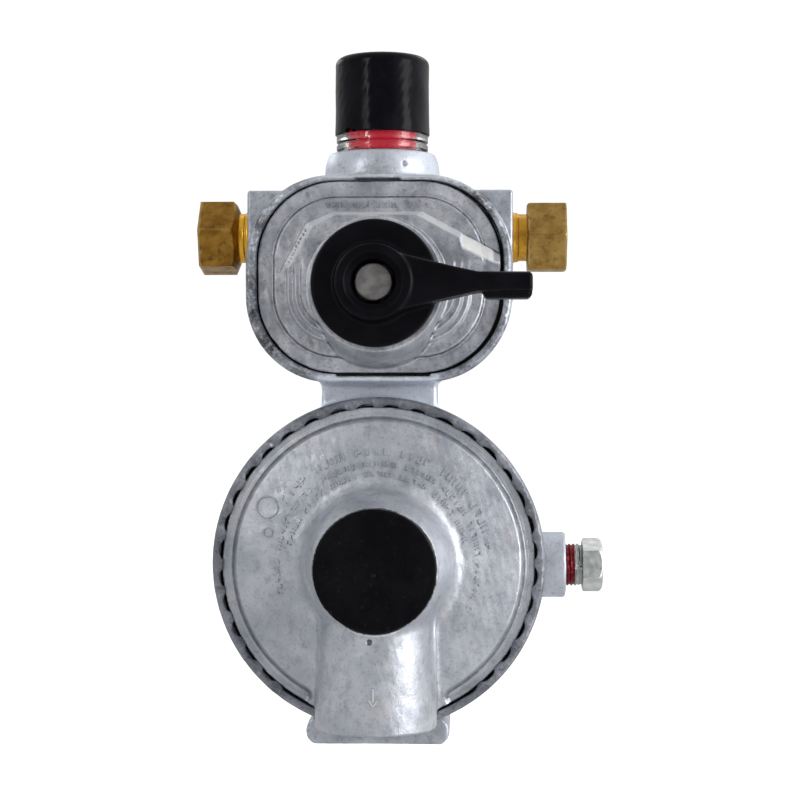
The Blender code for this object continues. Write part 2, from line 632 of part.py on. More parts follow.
def second_stage_valve():
    """Orifice, disc in its holder, bellcrank lever on its pin, and the guide that carries them."""
    orifice = [(1.5, 26.0), (2.4, 26.0), (3.0, 28.2), (6.0, 28.2), (6.0, 30.4), (4.6, 30.4)]
    orifice += [(4.6, 36.2), (1.5, 36.2)]
    turned("second_stage_orifice", orifice, BRASS, SMALL, "up", ORIFICE)
    holder = [(0, 23.0), (3.8, 23.0), (3.8, 24.4), (4.2, 24.4), (4.2, 20.2), (2.2, 20.2)]
    holder += [(2.2, 8.5), (0, 8.5)]
    carrier = turned("valve_disc_holder", holder, BRASS, SMALL, "up", ORIFICE)
    cut(carrier, box("holder_slot", (-1.3, 1.3), (14.0, 21.0), (10.6, 13.4)))
    disc = rod("valve_disc", 3.5, 23.3, 25.0, RUBBER, SMALL, "up", ORIFICE)
    pivot_forward, pivot_z = LEVER_PIVOT
    hub = circle(2.3, 16, (-pivot_z, -pivot_forward))
    lever = extruded("valve_lever", hub, -0.9, 0.9, STEEL, "right")
    long_arm = [(12.2, 11.5), (13.2, 0.0), (13.2, -2.6), (14.8, -2.6), (14.8, 0.0), (13.8, 11.5)]
    short_arm = [(13.5, 11.3), (13.5, 12.7), (19.6, 12.7), (19.6, 11.3)]
    pivot = (0, pivot_forward, pivot_z)
    join(
        lever,
        extruded("long_arm", side_outline(long_arm), -0.88, 0.88, axis="right"),
        extruded("short_arm", side_outline(short_arm), -0.86, 0.86, axis="right"),
    )
    cut(lever, rod("lever_eye", 1.3, -3.0, 3.0, segments=12, axis="right", at=pivot))
    rod("lever_pin", 1.0, -5.8, 5.8, STEEL, 12, "right", pivot)
    guide = box("valve_guide", (-6.0, 6.0), (7.8, 21.0), (15.0, 19.0), BRASS)
    join(
        guide,
        box("left_ear", (-5.9, -3.2), (7.9, 15.6), (8.8, 15.2)),
        box("right_ear", (3.2, 5.9), (7.9, 15.6), (8.8, 15.2)),
        box("guide_flange", (-12.0, 12.0), (7.85, 9.8), (14.5, 20.0)),
    )
    cut(
        guide,
        rod("guide_bore", 2.5, 10.0, 22.0, axis="up", at=ORIFICE),
        rod("pin_bore", 1.3, -8.0, 8.0, segments=12, axis="right", at=pivot),
        *[rod("flange_hole", 1.5, 5.0, 12.0, segments=10, at=(x, 0, 17.2)) for x in (-9.0, 9.0)],
    )
    screw = [(0, 12.0), (2.0, 12.0), (2.4, 11.4), (2.4, 10.1), (1.2, 10.1), (1.2, 4.5), (0, 4.5)]
    for side, x in (("left", -9.0), ("right", 9.0)):
        turned(f"guide_screw_{side}", screw, STEEL, 12, at=(x, 0, 17.2))
    carried_by("valve_lever_axis", pivot, lever)
    carried_by("valve_disc_axis", (0, ORIFICE_FORWARD, 20.0), carrier, disc)


def pressure_tap_plug():
    """Pipe plug with a hexagon head, partly screwed into the side boss."""
    corner = 6.415  # 7/16 inch across flats
    thread = [(0, 48.4), (5.15, 48.4), (5.15, 43.6), (4.8, 35.7), (0, 35.7)]
    plug = turned("pressure_tap_plug", thread, STEEL, 16, "right", TAP)
    head = [(0, 52.7), (corner - 0.9, 52.7), (corner, 51.6), (corner, 48.2), (corner - 0.5, 47.8)]
    head += [(0, 47.8)]
    return join(plug, turned("plug_head", head, None, 6, "right", TAP))


second_stage_bonnet()
second_stage_trim()
diaphragm_group()
second_stage_valve()
pressure_tap_plug()
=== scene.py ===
"""Looks for the two-stage changeover regulator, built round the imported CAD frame.

Lengths are millimetres until MM turns them into Blender's metres. Points are (x, forward, z), where
forward is the distance in front of the back mounting face, along -Y. The cast, moulded and turned
pieces are fields: a function gives the distance from a point to the piece's surface, negative
inside, and skin() makes a closed mesh of the places where it is zero.
"""

import json
import math

import bmesh
import bpy
import numpy as np
from mathutils import Matrix, Vector


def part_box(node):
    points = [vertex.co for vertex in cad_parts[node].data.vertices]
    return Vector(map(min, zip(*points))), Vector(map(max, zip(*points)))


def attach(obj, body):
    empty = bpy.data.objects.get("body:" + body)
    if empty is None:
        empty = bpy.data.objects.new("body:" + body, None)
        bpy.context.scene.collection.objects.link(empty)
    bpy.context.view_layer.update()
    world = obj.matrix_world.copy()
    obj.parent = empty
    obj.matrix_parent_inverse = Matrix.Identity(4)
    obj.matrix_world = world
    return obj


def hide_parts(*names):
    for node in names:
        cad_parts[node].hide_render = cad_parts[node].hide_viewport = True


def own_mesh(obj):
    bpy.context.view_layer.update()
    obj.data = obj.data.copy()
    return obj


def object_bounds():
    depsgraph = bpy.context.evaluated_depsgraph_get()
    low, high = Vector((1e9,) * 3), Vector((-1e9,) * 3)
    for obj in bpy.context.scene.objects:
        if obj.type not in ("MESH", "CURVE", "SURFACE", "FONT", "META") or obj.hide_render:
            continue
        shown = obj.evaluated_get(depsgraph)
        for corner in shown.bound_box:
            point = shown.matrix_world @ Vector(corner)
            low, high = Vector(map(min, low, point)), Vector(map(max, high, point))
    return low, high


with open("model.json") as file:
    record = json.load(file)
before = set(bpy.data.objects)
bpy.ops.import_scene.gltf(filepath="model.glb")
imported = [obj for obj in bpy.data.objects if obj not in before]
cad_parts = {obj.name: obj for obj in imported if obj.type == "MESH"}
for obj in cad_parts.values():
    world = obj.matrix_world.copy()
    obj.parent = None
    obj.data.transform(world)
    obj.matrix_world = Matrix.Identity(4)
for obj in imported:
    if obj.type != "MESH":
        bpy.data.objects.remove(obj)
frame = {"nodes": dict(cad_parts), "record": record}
CAD_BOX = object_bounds()
MM = 0.001
TO_WORLD = np.array((MM, -MM, MM))


def span(node):
    """A CAD node's extent in millimetres: (x low, x high), (forward low, high), (z low, high)."""
    low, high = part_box(node)
    low, high = low / MM, high / MM
    return (low.x, high.x), (-high.y, -low.y), (low.z, high.z)


def middle(pair):
    return (pair[0] + pair[1]) / 2


# ---- places, from the frame

KNOB_Z = middle(span("first_stage_diaphragm_plate")[2])
FIRST_Z = middle(span("first_stage_diaphragm")[2])
PAN_HALF_W = span("first_stage_diaphragm")[0][1] + 1.8
PAN_HALF_H = span("first_stage_diaphragm")[2][1] - FIRST_Z + 1.8
PAN_CORNER = 20
PAN_FRONT = 31
COVER_HALF_W = PAN_HALF_W - 2.8
COVER_HALF_H = PAN_HALF_H - 1.9
COVER_CORNER = 18.5
COVER_Z = FIRST_Z + 0.4
BLOCK_HALF_W = 31.2
INLET_Z = middle(span("left_inlet_fitting")[2])
INLET_FORWARD = middle(span("left_inlet_filter")[1])
GLASS_X = middle(span("indicator_cap")[0])
GLASS_FORWARD = middle(span("indicator_cap")[1])
CAP_LOW, CAP_HIGH = span("indicator_cap")[2]
TAP_FORWARD = middle(span("pressure_tap_plug")[1])
TAP_Z = middle(span("pressure_tap_plug")[2])
OUTLET_FORWARD = 16
FOOT_BOTTOM = CAD_BOX[0].z / MM
VALVE_X = middle(span("right_inlet_poppet")[0])
ORIFICE_FORWARD = middle(span("second_stage_orifice")[1])
TUBE_FORWARD = 36.2
TUBE_END = span("second_stage_bonnet")[2][0]
VENT_FORWARD = middle(span("vent_screen")[1])
HUB_TOP = span("second_stage_bonnet")[1][1]
LEVER_TIP = span("selector_knob")[0][1]


# ---- fields


def join(a, b, blend):
    """The union of two fields, with a fillet of about that size where they meet."""
    h = np.clip(0.5 + 0.5 * (b - a) / blend, 0, 1)
    return b + (a - b) * h - blend * h * (1 - h)


def meet(a, b, blend):
    return -join(-a, -b, blend)


def cut(field, *others, blend=0.4):
    for other in others:
        field = meet(field, -other, blend)
    return field


def length(*parts):
    return np.sqrt(sum(part * part for part in parts))


def rounded(offsets, radius):
    """Joins distances past each of a shape's sides, with its outer edges rounded."""
    grown = [offset + radius for offset in offsets]
    outside = length(*[np.maximum(offset, 0) for offset in grown])
    inside = np.minimum(np.maximum.reduce(grown), 0)
    return outside + inside - radius


def between(value, low, high):
    """Distance past a slab from low to high."""
    return np.abs(value - (low + high) / 2) - (high - low) / 2


def block(p, x, forward, z, radius=0.3):
    sides = [between(value, *pair) for value, pair in zip(p, (x, forward, z))]
    return rounded(sides, radius)


def about(p, axis, at):
    """Distance from an axis line and height along it."""
    x, f, z = (value - centre for value, centre in zip(p, at))
    if axis == "x":
        return length(f, z), p[0]
    if axis == "front":
        return length(x, z), p[1]
    return length(x, f), p[2]


def rod(p, axis, at, radius, low, high, edge=0.2):
    r, h = about(p, axis, at)
    return rounded([r - radius, between(h, low, high)], edge)


def cone(r, h, wide, narrow):
    """Distance past a cone's side through two (radius, height) points, the wide one first."""
    slope = (wide[0] - narrow[0]) / (narrow[1] - wide[1])
    return (r - wide[0] + (h - wide[1]) * slope) / math.hypot(1, slope)


def oblong(x, z, half_w, half_h, corner, centre=(0, 0)):
    """Distance past a rounded rectangle's outline, in the plane of the front."""
    across = np.abs(x - centre[0]) - (half_w - corner)
    up = np.abs(z - centre[1]) - (half_h - corner)
    outside = length(np.maximum(across, 0), np.maximum(up, 0))
    return outside + np.minimum(np.maximum(across, up), 0) - corner


def hexagon(u, v, flat, turn):
    """Distance past a hexagon's sides; flat is the half width across flats."""
    angles = [math.radians(turn + 30 + 60 * i) for i in range(6)]
    return np.maximum.reduce([u * math.cos(a) + v * math.sin(a) for a in angles]) - flat


def ramp(value, low, high):
    """0 below low, 1 above high, and smooth between."""
    t = np.clip((value - low) / (high - low), 0, 1)
    return t * t * (3 - 2 * t)


def bump(value, centre, width):
    return np.exp(-(((value - centre) / width) ** 2))


def uneven(p, size, seed):
    """A smooth random value between about -1 and 1, with waves of that size."""
    draw = np.random.default_rng(seed)
    total = 0.0
    for _ in range(5):
        way = draw.normal(size=3)
        way *= math.tau / (size * draw.uniform(0.7, 1.5) * np.linalg.norm(way))
        phase = draw.uniform(0.0, math.tau)
        total = total + np.sin(way[0] * p[0] + way[1] * p[1] + way[2] * p[2] + phase)
    return total / 3.0


# ---- meshes from fields

BLOCK_CELLS = 6


def sampled(field, low, high, step):
    """The field on a grid. Blocks of cells far from the surface only get its sign."""
    axes = [np.arange(a, b + 2 * step, step, dtype=np.float64) for a, b in zip(low, high)]
    counts = [-(-len(axis) // BLOCK_CELLS) for axis in axes]
    middles = [a[0] + (np.arange(n) + 0.5) * BLOCK_CELLS * step for a, n in zip(axes, counts)]
    coarse = field(np.meshgrid(*middles, indexing="ij"))
    reach = 0.5 * math.sqrt(3.0) * BLOCK_CELLS * step * 1.3 + 0.4
    spread = np.ones((BLOCK_CELLS,) * 3, bool)
    shape = tuple(slice(0, len(axis)) for axis in axes)
    near = np.kron(np.abs(coarse) < reach, spread)[shape]
    value = np.where(np.kron(coarse < 0, spread)[shape], -9.0, 9.0)
    places = np.nonzero(near)
    value[places] = field([axis[place] for axis, place in zip(axes, places)])
    return value, np.array([axis[0] for axis in axes])


def gradient(field, points, reach):
    """The field's slope at each point, by central differences."""
    slopes = []
    for i in range(3):
        ahead = [points[:, j] + (reach if j == i else 0) for j in range(3)]
        behind = [points[:, j] - (reach if j == i else 0) for j in range(3)]
        slopes.append((field(ahead) - field(behind)) / (2 * reach))
    return np.stack(slopes, axis=1)


def net(value, origin, step):
    """Surface net of a sampled field: one vertex in each cell that the surface crosses."""
    inside = value < 0
    corners = list(np.ndindex(2, 2, 2))
    filled = 0
    for corner in corners:
        filled = filled + inside[tuple(slice(c, c - 1 or None) for c in corner)].astype(np.int8)
    active = (filled > 0) & (filled < 8)
    cells = np.argwhere(active)
    number = np.full(active.shape, -1, np.int64)
    number[active] = np.arange(len(cells))
    at = {corner: value[tuple((cells + corner).T)] for corner in corners}
    total, crossings = np.zeros((len(cells), 3)), np.zeros(len(cells))
    for a, b in ((a, b) for a in corners for b in corners):
        if sum(b) != sum(a) + 1 or any(j < i for i, j in zip(a, b)):
            continue
        crossed = (at[a] < 0) != (at[b] < 0)
        share = at[a][crossed] / (at[a][crossed] - at[b][crossed])
        total[crossed] += np.array(a) + share[:, None] * np.subtract(b, a)
        crossings[crossed] += 1
    points = origin + (cells + total / crossings[:, None]) * step
    quads, unit = [], np.eye(3, dtype=int)
    for axis in range(3):
        u, v = (axis + 1) % 3, (axis + 2) % 3
        layers = np.swapaxes(inside, 0, axis)
        edges = np.argwhere(layers[:-1] != layers[1:])
        edges[:, [0, axis]] = edges[:, [axis, 0]]
        edges = edges[(edges[:, u] > 0) & (edges[:, v] > 0)]
        around = (edges - a * unit[u] - b * unit[v] for a, b in ((1, 1), (0, 1), (0, 0), (1, 0)))
        quad = np.stack([number[tuple(cell.T)] for cell in around], axis=1)
        outward = inside[tuple(edges.T)]
        quad[outward] = quad[outward][:, ::-1]
        quads.append(quad)
    return points, np.concatenate(quads)


def quick_mesh(name, points, faces):
    """A mesh from points in millimetres as (x, forward, z) rows, and faces of one size."""
    mesh = bpy.data.meshes.new(name)
    mesh.from_pydata((points * TO_WORLD).tolist(), [], faces.tolist())
    mesh.validate()
    return mesh


def add(name, mesh):
    obj = bpy.data.objects.new(name, mesh)
    bpy.context.scene.collection.objects.link(obj)
    return obj


def from_bmesh(name, shape, crease=0):
    """A smooth-shaded object from a bmesh in millimetres, sharp past that many degrees."""
    bmesh.ops.scale(shape, vec=(MM, MM, MM), verts=shape.verts)
    mesh = bpy.data.meshes.new(name)
    shape.to_mesh(mesh)
    shape.free()
    mesh.shade_smooth()
    if crease:
        mesh.set_sharp_from_angle(angle=math.radians(crease))
    return add(name, mesh)


def mark(mesh, name, amount):
    attribute = mesh.attributes.new(name, "FLOAT", "POINT")
    attribute.data.foreach_set("value", amount.astype(np.float32))


def skin(name, field, low, high, step, keep, *finish, body="casting", **marked):
    """A piece whose mesh is the field's surface, thinned to the share of its faces in keep.

    Every further named argument is a function of the points, stored under its name.
    """
    value, origin = sampled(field, low, high, step)
    points, faces = net(value, origin, step)
    for _ in range(2):
        slope = gradient(field, points, 0.1 * step)
        squared = np.maximum((slope * slope).sum(axis=1), 0.05)
        move = -(field(list(points.T)) / squared)[:, None] * slope
        far = np.maximum(length(*move.T) / (0.45 * step), 1)
        points += move / far[:, None]
    obj = add(name, quick_mesh(name, points, faces))
    obj.modifiers.new("thin", "DECIMATE").ratio = keep
    graph = bpy.context.evaluated_depsgraph_get()
    made = bpy.data.meshes.new_from_object(obj.evaluated_get(graph))
    obj.modifiers.clear()
    obj.data = made
    dress(made, field, step, marked)
    finished(obj, *finish, body=body)


HOLLOW_REACH = 1.1
EDGE_REACH = 0.7


def dress(mesh, field, step, marked):
    """Normals from the field's slope, and the attributes that the materials read."""
    found = np.empty(len(mesh.vertices) * 3, np.float32)
    mesh.vertices.foreach_get("co", found)
    points = found.reshape(-1, 3) / TO_WORLD
    slope = gradient(field, points, 0.25 * step)
    size = np.maximum(length(*slope.T), 1e-6)
    normal = slope / size[:, None]
    out = field(list((points + HOLLOW_REACH * normal).T)) / size
    back = field(list((points - EDGE_REACH * normal).T)) / size
    # hollow measures how sunken the surface is: most materials paint shade there, and brass a
    # patina
    mark(mesh, "hollow", np.clip(1 - out / HOLLOW_REACH, 0, 1))
    mark(mesh, "edge", np.clip(1 + back / EDGE_REACH, 0, 1))
    for name, rule in marked.items():
        mark(mesh, name, rule(list(points.T)))
    mesh.shade_smooth()
    mesh.normals_split_custom_set_from_vertices((normal * (1, -1, 1)).tolist())


def softened(profile, radius, steps=3):
    """A closed outline with every corner off the axis replaced by a small arc."""
    points = []
    for before, here, after in zip(profile[-1:] + profile[:-1], profile, profile[1:] + profile[:1]):
        a, b, c = (Vector(p) for p in (before, here, after))
        if b.x == 0:
            points.append(tuple(b))
            continue
        reach = min(radius, 0.4 * (a - b).length, 0.4 * (c - b).length)
        start, end = b + (a - b).normalized() * reach, b + (c - b).normalized() * reach
        for t in np.linspace(0, 1, steps + 1):
            points.append(tuple(start * (1 - t) ** 2 + b * (2 * t * (1 - t)) + end * t**2))
    return points


def swept(name, rings):
    """A closed surface through an array of rings with the same number of points each."""
    here = np.arange(rings.shape[0] * rings.shape[1]).reshape(rings.shape[:2])
    ahead = np.roll(here, -1, 0)
    faces = np.stack([here, np.roll(here, -1, 1), np.roll(ahead, -1, 1), ahead], axis=2)
    obj = add(name, quick_mesh(name, rings.reshape(-1, 3), faces.reshape(-1, 4)))
    shape = bmesh.new()
    shape.from_mesh(obj.data)
    bmesh.ops.remove_doubles(shape, verts=shape.verts, dist=0.0001 * MM)
    loose = [edge for edge in shape.edges if not edge.link_faces]
    bmesh.ops.delete(shape, geom=loose, context="EDGES")
    bmesh.ops.recalc_face_normals(shape, faces=shape.faces)
    shape.to_mesh(obj.data)
    shape.free()
    obj.data.shade_smooth()
    return obj


def turned(name, profile, segments, edge=0.2):
    """A piece turned about the indicator's axis, from its outline's (radius, height) points."""
    radius, height = np.array(softened(profile, edge)).T
    angle = np.arange(segments)[:, None] * math.tau / segments
    x = GLASS_X + radius * np.cos(angle)
    forward = GLASS_FORWARD - radius * np.sin(angle)
    obj = swept(name, np.stack(np.broadcast_arrays(x, forward, height), axis=2))
    obj.data.set_sharp_from_angle(angle=math.radians(50))
    return obj


def finished(obj, look, slot, *nodes, body="casting"):
    """Gives the piece its material, the body that it rides on and the nodes that it stands for."""
    obj.data.materials.clear()
    obj.data.materials.append(look)
    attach(obj, body)
    if nodes:
        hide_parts(*nodes)


# ---- materials


def node(tree, kind, *values, **settings):
    """A shader node with its settings by name and its inputs in order, as numbers or sockets."""
    made = tree.nodes.new("ShaderNode" + kind)
    for name, value in settings.items():
        setattr(made, name, value)
    for socket, value in zip(made.inputs, values):
        if isinstance(value, bpy.types.NodeSocket):
            tree.links.new(value, socket)
        elif value is not None:
            socket.default_value = value
    return made


class Paint:
    """Builds one procedural material on a Principled shader, as layers of colour."""

    def __init__(self, name, metallic=0.0, roughness=0.5, **fixed):
        self.material = bpy.data.materials.new(name)
        self.material.use_nodes = True
        self.tree = self.material.node_tree
        self.shader = self.tree.nodes["Principled BSDF"]
        fixed.update(Metallic=metallic, Roughness=roughness)
        for socket, value in fixed.items():
            self.shader.inputs[socket.replace("_", " ")].default_value = value
        self.place = self.node("TexCoord").outputs["Object"]

    def node(self, kind, *values, **settings):
        return node(self.tree, kind, *values, **settings)

    def noise(self, size, detail=3.0, rough=0.55, stretch=None):
        """Noise whose features are about that many millimetres across."""
        place = self.place
        if stretch:
            place = self.node("Mapping", place, None, None, stretch).outputs[0]
        return self.node("TexNoise", place, None, 1.0 / (size * MM), detail, rough).outputs["Fac"]

    def spread(self, value, low, high, new_low=0.0, new_high=1.0):
        ends = (value, low, high, new_low, new_high)
        return self.node("MapRange", *ends, interpolation_type="SMOOTHSTEP").outputs["Result"]

    def patches(self, size, detail, low, high, new_low=0.0, new_high=1.0, rough=0.55):
        return self.spread(self.noise(size, detail, rough), low, high, new_low, new_high)

    def marked(self, name, low=None, high=None):
        """A stored attribute, stretched between two of its values if they are given."""
        found = self.node("Attribute", attribute_name=name).outputs["Fac"]
        return found if low is None else self.spread(found, low, high)

    def axis(self, letter):
        return self.node("SeparateXYZ", self.place).outputs[letter]

    def times(self, a, b, operation="MULTIPLY"):
        return self.node("Math", a, b, operation=operation).outputs[0]

    def over(self, amount, top, under=None):
        """Lays a colour over the colour so far, or over another one to begin with."""
        mixer = self.node("Mix", amount, data_type="RGBA")
        for value, socket in ((under or self.shown, mixer.inputs[6]), (top, mixer.inputs[7])):
            if isinstance(value, tuple):
                socket.default_value = (*value, 1.0)
            else:
                self.tree.links.new(value, socket)
        self.shown = mixer.outputs[2]
        return self.shown

    def finish(self, rough, *layers):
        """Roughness in patches, and bump from (height, depth in millimetres) layers."""
        self.tree.links.new(self.shown, self.shader.inputs["Base Color"])
        if rough:
            self.tree.links.new(self.patches(*rough), self.shader.inputs["Roughness"])
        total = None
        for value, depth in layers:
            layer = self.times(value, depth)
            total = layer if total is None else self.times(total, layer, "ADD")
        if layers:
            bump = self.node("Bump", 1.0, MM)
            self.tree.links.new(total, bump.inputs["Height"])
            self.tree.links.new(bump.outputs["Normal"], self.shader.inputs["Normal"])
        return self.material


def scaled(colour, *factors):
    """A colour times one factor, or times a factor for each channel."""
    return tuple(c * k for c, k in zip(colour, factors * 3))


def cast_metal(name, dark, light, rough=(0.34, 0.52), depth=1, soil=0.45, gap=0):
    """Die-cast aluminium: mottled grey, painted shade in the hollows, rubbed edges, fine sand
    grain.

    gap is a radius past which the piece gets painted shade, near black, where it is tucked under
    the rolled rim.
    """
    paint = Paint(name, 0.62)
    paint.over(paint.patches(9, 4, 0.32, 0.68), light, dark)
    paint.over(paint.patches(2.6, 5, 0.48, 0.74, 0, soil, 0.65), scaled(dark, 0.5))
    paint.over(paint.patches(7, 3, 0.48, 0.74, 0, 0.4), scaled(dark, 1.16, 1.06, 0.96))
    speck = paint.patches(0.7, 3, 0.53, 0.7, 0, 0.75 * soil, 0.6)
    paint.over(speck, scaled(dark, 0.4))
    # painted shade: near black in the hollows, broken into ragged patches
    painted_shade = paint.times(paint.marked("hollow", 0.1, 0.62), 0.92)
    ragged = paint.patches(1.1, 4, 0.25, 0.6, 0.35, 1, 0.6)
    paint.over(paint.times(painted_shade, ragged), (0.045, 0.048, 0.055))
    dirt = paint.times(paint.marked("grime"), paint.patches(1.5, 5, 0.36, 0.56, rough=0.7))
    paint.over(dirt, (0.07, 0.07, 0.08))
    # painted light: paler, bluish metal where light falls on the neck and the bosses
    brightened = paint.times(paint.marked("brightened"), paint.spread(speck, 0, 0.5, 1, 0.6))
    paint.over(brightened, (0.8, 0.85, 0.94))
    # painted highlight on the cover's upper bevels and on the tops of raised marks
    paint.over(paint.marked("facet"), (0.97, 0.97, 0.95))
    paint.over(paint.times(paint.marked("edge", 0.18, 0.6), 0.6), (0.86, 0.88, 0.91))
    # painted shade: near black where the piece is tucked under the rolled rim
    if gap:
        across, up = (paint.times(paint.axis(way), paint.axis(way)) for way in "XZ")
        edge = (gap * MM) ** 2
        outer = paint.spread(paint.times(across, up, "ADD"), edge, 1.012 * edge)
        deep = paint.spread(paint.axis("Y"), -32.5 * MM, -31.5 * MM)
        paint.over(paint.times(outer, deep), (0.006, 0.006, 0.008))
    grain = (paint.noise(0.32, 2, 0.6), 0.035 * depth)
    return paint.finish((3.2, 4, 0.3, 0.7, *rough), grain, (paint.noise(1.3), 0.1 * depth))


def brass(name, dark, light, patina, neck=0, brightened=(0.8, 0.42, 0.05)):
    """Machined brass that has gone brown in patches, but not inside of the radius neck."""
    paint = Paint(name, 1)
    paint.over(paint.patches(3.4, 4, 0.35, 0.65), light, dark)
    paint.over(paint.patches(1.5, 5, 0.48, 0.72, 0, 0.8, 0.65), patina)
    paint.over(paint.times(paint.marked("hollow", 0.15, 0.8), 0.8), scaled(patina, 0.35))
    paint.over(paint.times(paint.marked("edge", 0.25, 0.7), 0.5), (0.9, 0.7, 0.33))
    if neck:
        away = paint.times(paint.axis("X"), 1, "ABSOLUTE")
        paint.over(paint.spread(away, (neck - 0.6) * MM, neck * MM, 0.85, 0), brightened)
    lathe = (paint.noise(0.5, 2, 0.5, (1, 0.12, 0.12)), 0.02)
    return paint.finish((2, 4, 0.35, 0.68, 0.26, 0.5), lathe, (paint.noise(1), 0.04))


def plated(name, dark, light, rough=(0.25, 0.45)):
    """Zinc-plated steel: pale, faintly green and cloudy."""
    paint = Paint(name, 0.95)
    paint.over(paint.patches(2.2, 4, 0.35, 0.65), light, dark)
    # painted shade in the hollows
    paint.over(paint.times(paint.marked("hollow", 0.15, 0.7), 0.8), (0.09, 0.09, 0.08))
    return paint.finish((1.6, 4, 0.3, 0.7, *rough), (paint.noise(0.5), 0.03))


def moulded(name, dark, light, rough=(0.34, 0.52), grain=0.3, scuff=0.35, **fixed):
    """Moulded plastic: a faint spark grain, dust in patches and scuffed edges."""
    paint = Paint(name, **fixed)
    paint.over(paint.patches(6, 4, 0.35, 0.7), light, dark)
    pale = tuple(min(1, 0.022 + 1.5 * c) for c in light)
    paint.over(paint.patches(1.1, 5, 0.56, 0.76, 0, scuff, 0.75), pale)
    paint.over(paint.times(paint.marked("edge", 0.3, 0.8), scuff), pale)
    layers = (paint.noise(grain, 2), 0.012), (paint.noise(1.6), 0.03)
    return paint.finish((2.4, 5, 0.3, 0.7, *rough, 0.6), *layers)


def clear_plastic():
    """The sight glass: clear, slightly smoky and hazed by handling."""
    paint = Paint("clear_plastic", IOR=1.49, Transmission_Weight=1)
    paint.over(paint.patches(2, 4, 0.35, 0.7), (0.84, 0.87, 0.88), (0.93, 0.95, 0.95))
    return paint.finish((1.2, 4, 0.3, 0.7, 0.04, 0.16), (paint.noise(1.8, 2), 0.02))


def tap_thread():
    """Plated plug whose first threads carry dried red sealant."""
    paint = Paint("plug_steel", 0.85)
    film = (0.4, 0.032, 0.045), (0.14, 0.005, 0.012)
    bare = (0.78, 0.8, 0.78), (0.58, 0.61, 0.6)
    film = paint.over(paint.patches(0.7, 3, 0.4, 0.6), *film)
    bare = paint.over(paint.patches(1.8, 4, 0.35, 0.65), *bare)
    edge = paint.times(paint.axis("X"), paint.times(paint.noise(0.9, 2), 0.7 * MM), "SUBTRACT")
    ends = (SEALANT_END - 0.4) * MM, (SEALANT_END + 0.1) * MM
    paint.over(paint.spread(edge, *ends), bare, film)
    # painted shade in the thread roots and other hollows
    paint.over(paint.times(paint.marked("hollow", 0.3, 0.9), 0.75), (0.05, 0.06, 0.055))
    return paint.finish((1.4, 4, 0.3, 0.7, 0.26, 0.48), (paint.noise(0.5), 0.03))


SEALANT_END = 45.9  # how far out along the plug

ALUMINIUM = cast_metal("cast_aluminium", (0.42, 0.45, 0.51), (0.6, 0.63, 0.695), soil=0.6)
COVER_METAL = cast_metal("cover_aluminium", (0.36, 0.375, 0.42), (0.65, 0.665, 0.71), soil=0.6)
BONNET_METAL = cast_metal("bonnet_aluminium", (0.45, 0.475, 0.53), (0.61, 0.63, 0.68), gap=36.02)
RIM_GREYS = (0.19, 0.2, 0.23), (0.37, 0.385, 0.43)
RIM_METAL = cast_metal("rolled_rim", *RIM_GREYS, (0.4, 0.6), depth=1.8, soil=0.85)
DEEP_BRASS = (0.26, 0.125, 0.018), (0.4, 0.21, 0.04), (0.12, 0.065, 0.016)
PALE_BRASS = (0.37, 0.215, 0.055), (0.5, 0.32, 0.1), (0.18, 0.11, 0.034)
# painted light: the left neck's brighter colour makes up for the dimmer light on the left
BRASS_LEFT = brass("brass_left", *DEEP_BRASS, neck=34.2, brightened=(1, 0.56, 0.06))
BRASS_RIGHT = brass("brass_right", *PALE_BRASS, neck=34.9)
BRASS = brass("brass", (0.55, 0.36, 0.1), (0.72, 0.5, 0.18), (0.3, 0.18, 0.06))
STEEL = plated("zinc_steel", (0.52, 0.54, 0.53), (0.7, 0.72, 0.7))
STUD = plated("worn_stud", (0.2, 0.19, 0.19), (0.3, 0.285, 0.28), (0.5, 0.7))
BLACKS = (0.0025, 0.0025, 0.0038), (0.005, 0.005, 0.0075)
CAP_BLACKS = (0.003, 0.003, 0.005), (0.006, 0.006, 0.0095)
SCUFFED_BLACKS = (0.002, 0.002, 0.003), (0.0045, 0.0045, 0.006)
BLACK = moulded("black_plastic", *BLACKS, (0.3, 0.42), scuff=0.04, IOR=1.17)
CAP_BLACK = moulded("cap_plastic", *CAP_BLACKS, (0.16, 0.26), scuff=0.05, IOR=1.17)
SCUFFED = moulded("scuffed_plastic", *SCUFFED_BLACKS, (0.34, 0.5), scuff=0.5, IOR=1.17)
WHITE = moulded("natural_plastic", (0.72, 0.71, 0.66), (0.82, 0.81, 0.77), scuff=0.1)
REDS = (0.62, 0.004, 0.025), (0.78, 0.01, 0.04)
# painted light: the red sleeve glows faintly, standing in for the light that the clear glass keeps
# off it
PAINTED_GLOW = {"Emission_Color": (0.8, 0, 0.025, 1), "Emission_Strength": 0.3}
RED = moulded("red_plastic", *REDS, (0.16, 0.3), scuff=0.05, **PAINTED_GLOW)
GREEN = moulded("green_plastic", (0.015, 0.3, 0.08), (0.03, 0.4, 0.12), scuff=0.05)
RUBBER = moulded("black_rubber", (0.014, 0.014, 0.014), (0.03, 0.03, 0.03), (0.7, 0.9), scuff=0.2)
CLEAR = clear_plastic()
PLUG_STEEL = tap_thread()


# ---- casting

LEDGE = 26  # second stage: where the diaphragm's rim sits
FLOOR = 7.5
FAR = 60  # well past the front of everything
FOOT_X = (-17.2, 16.5)
CAVITY_R = 31.5
RIM_INNER = 36.9


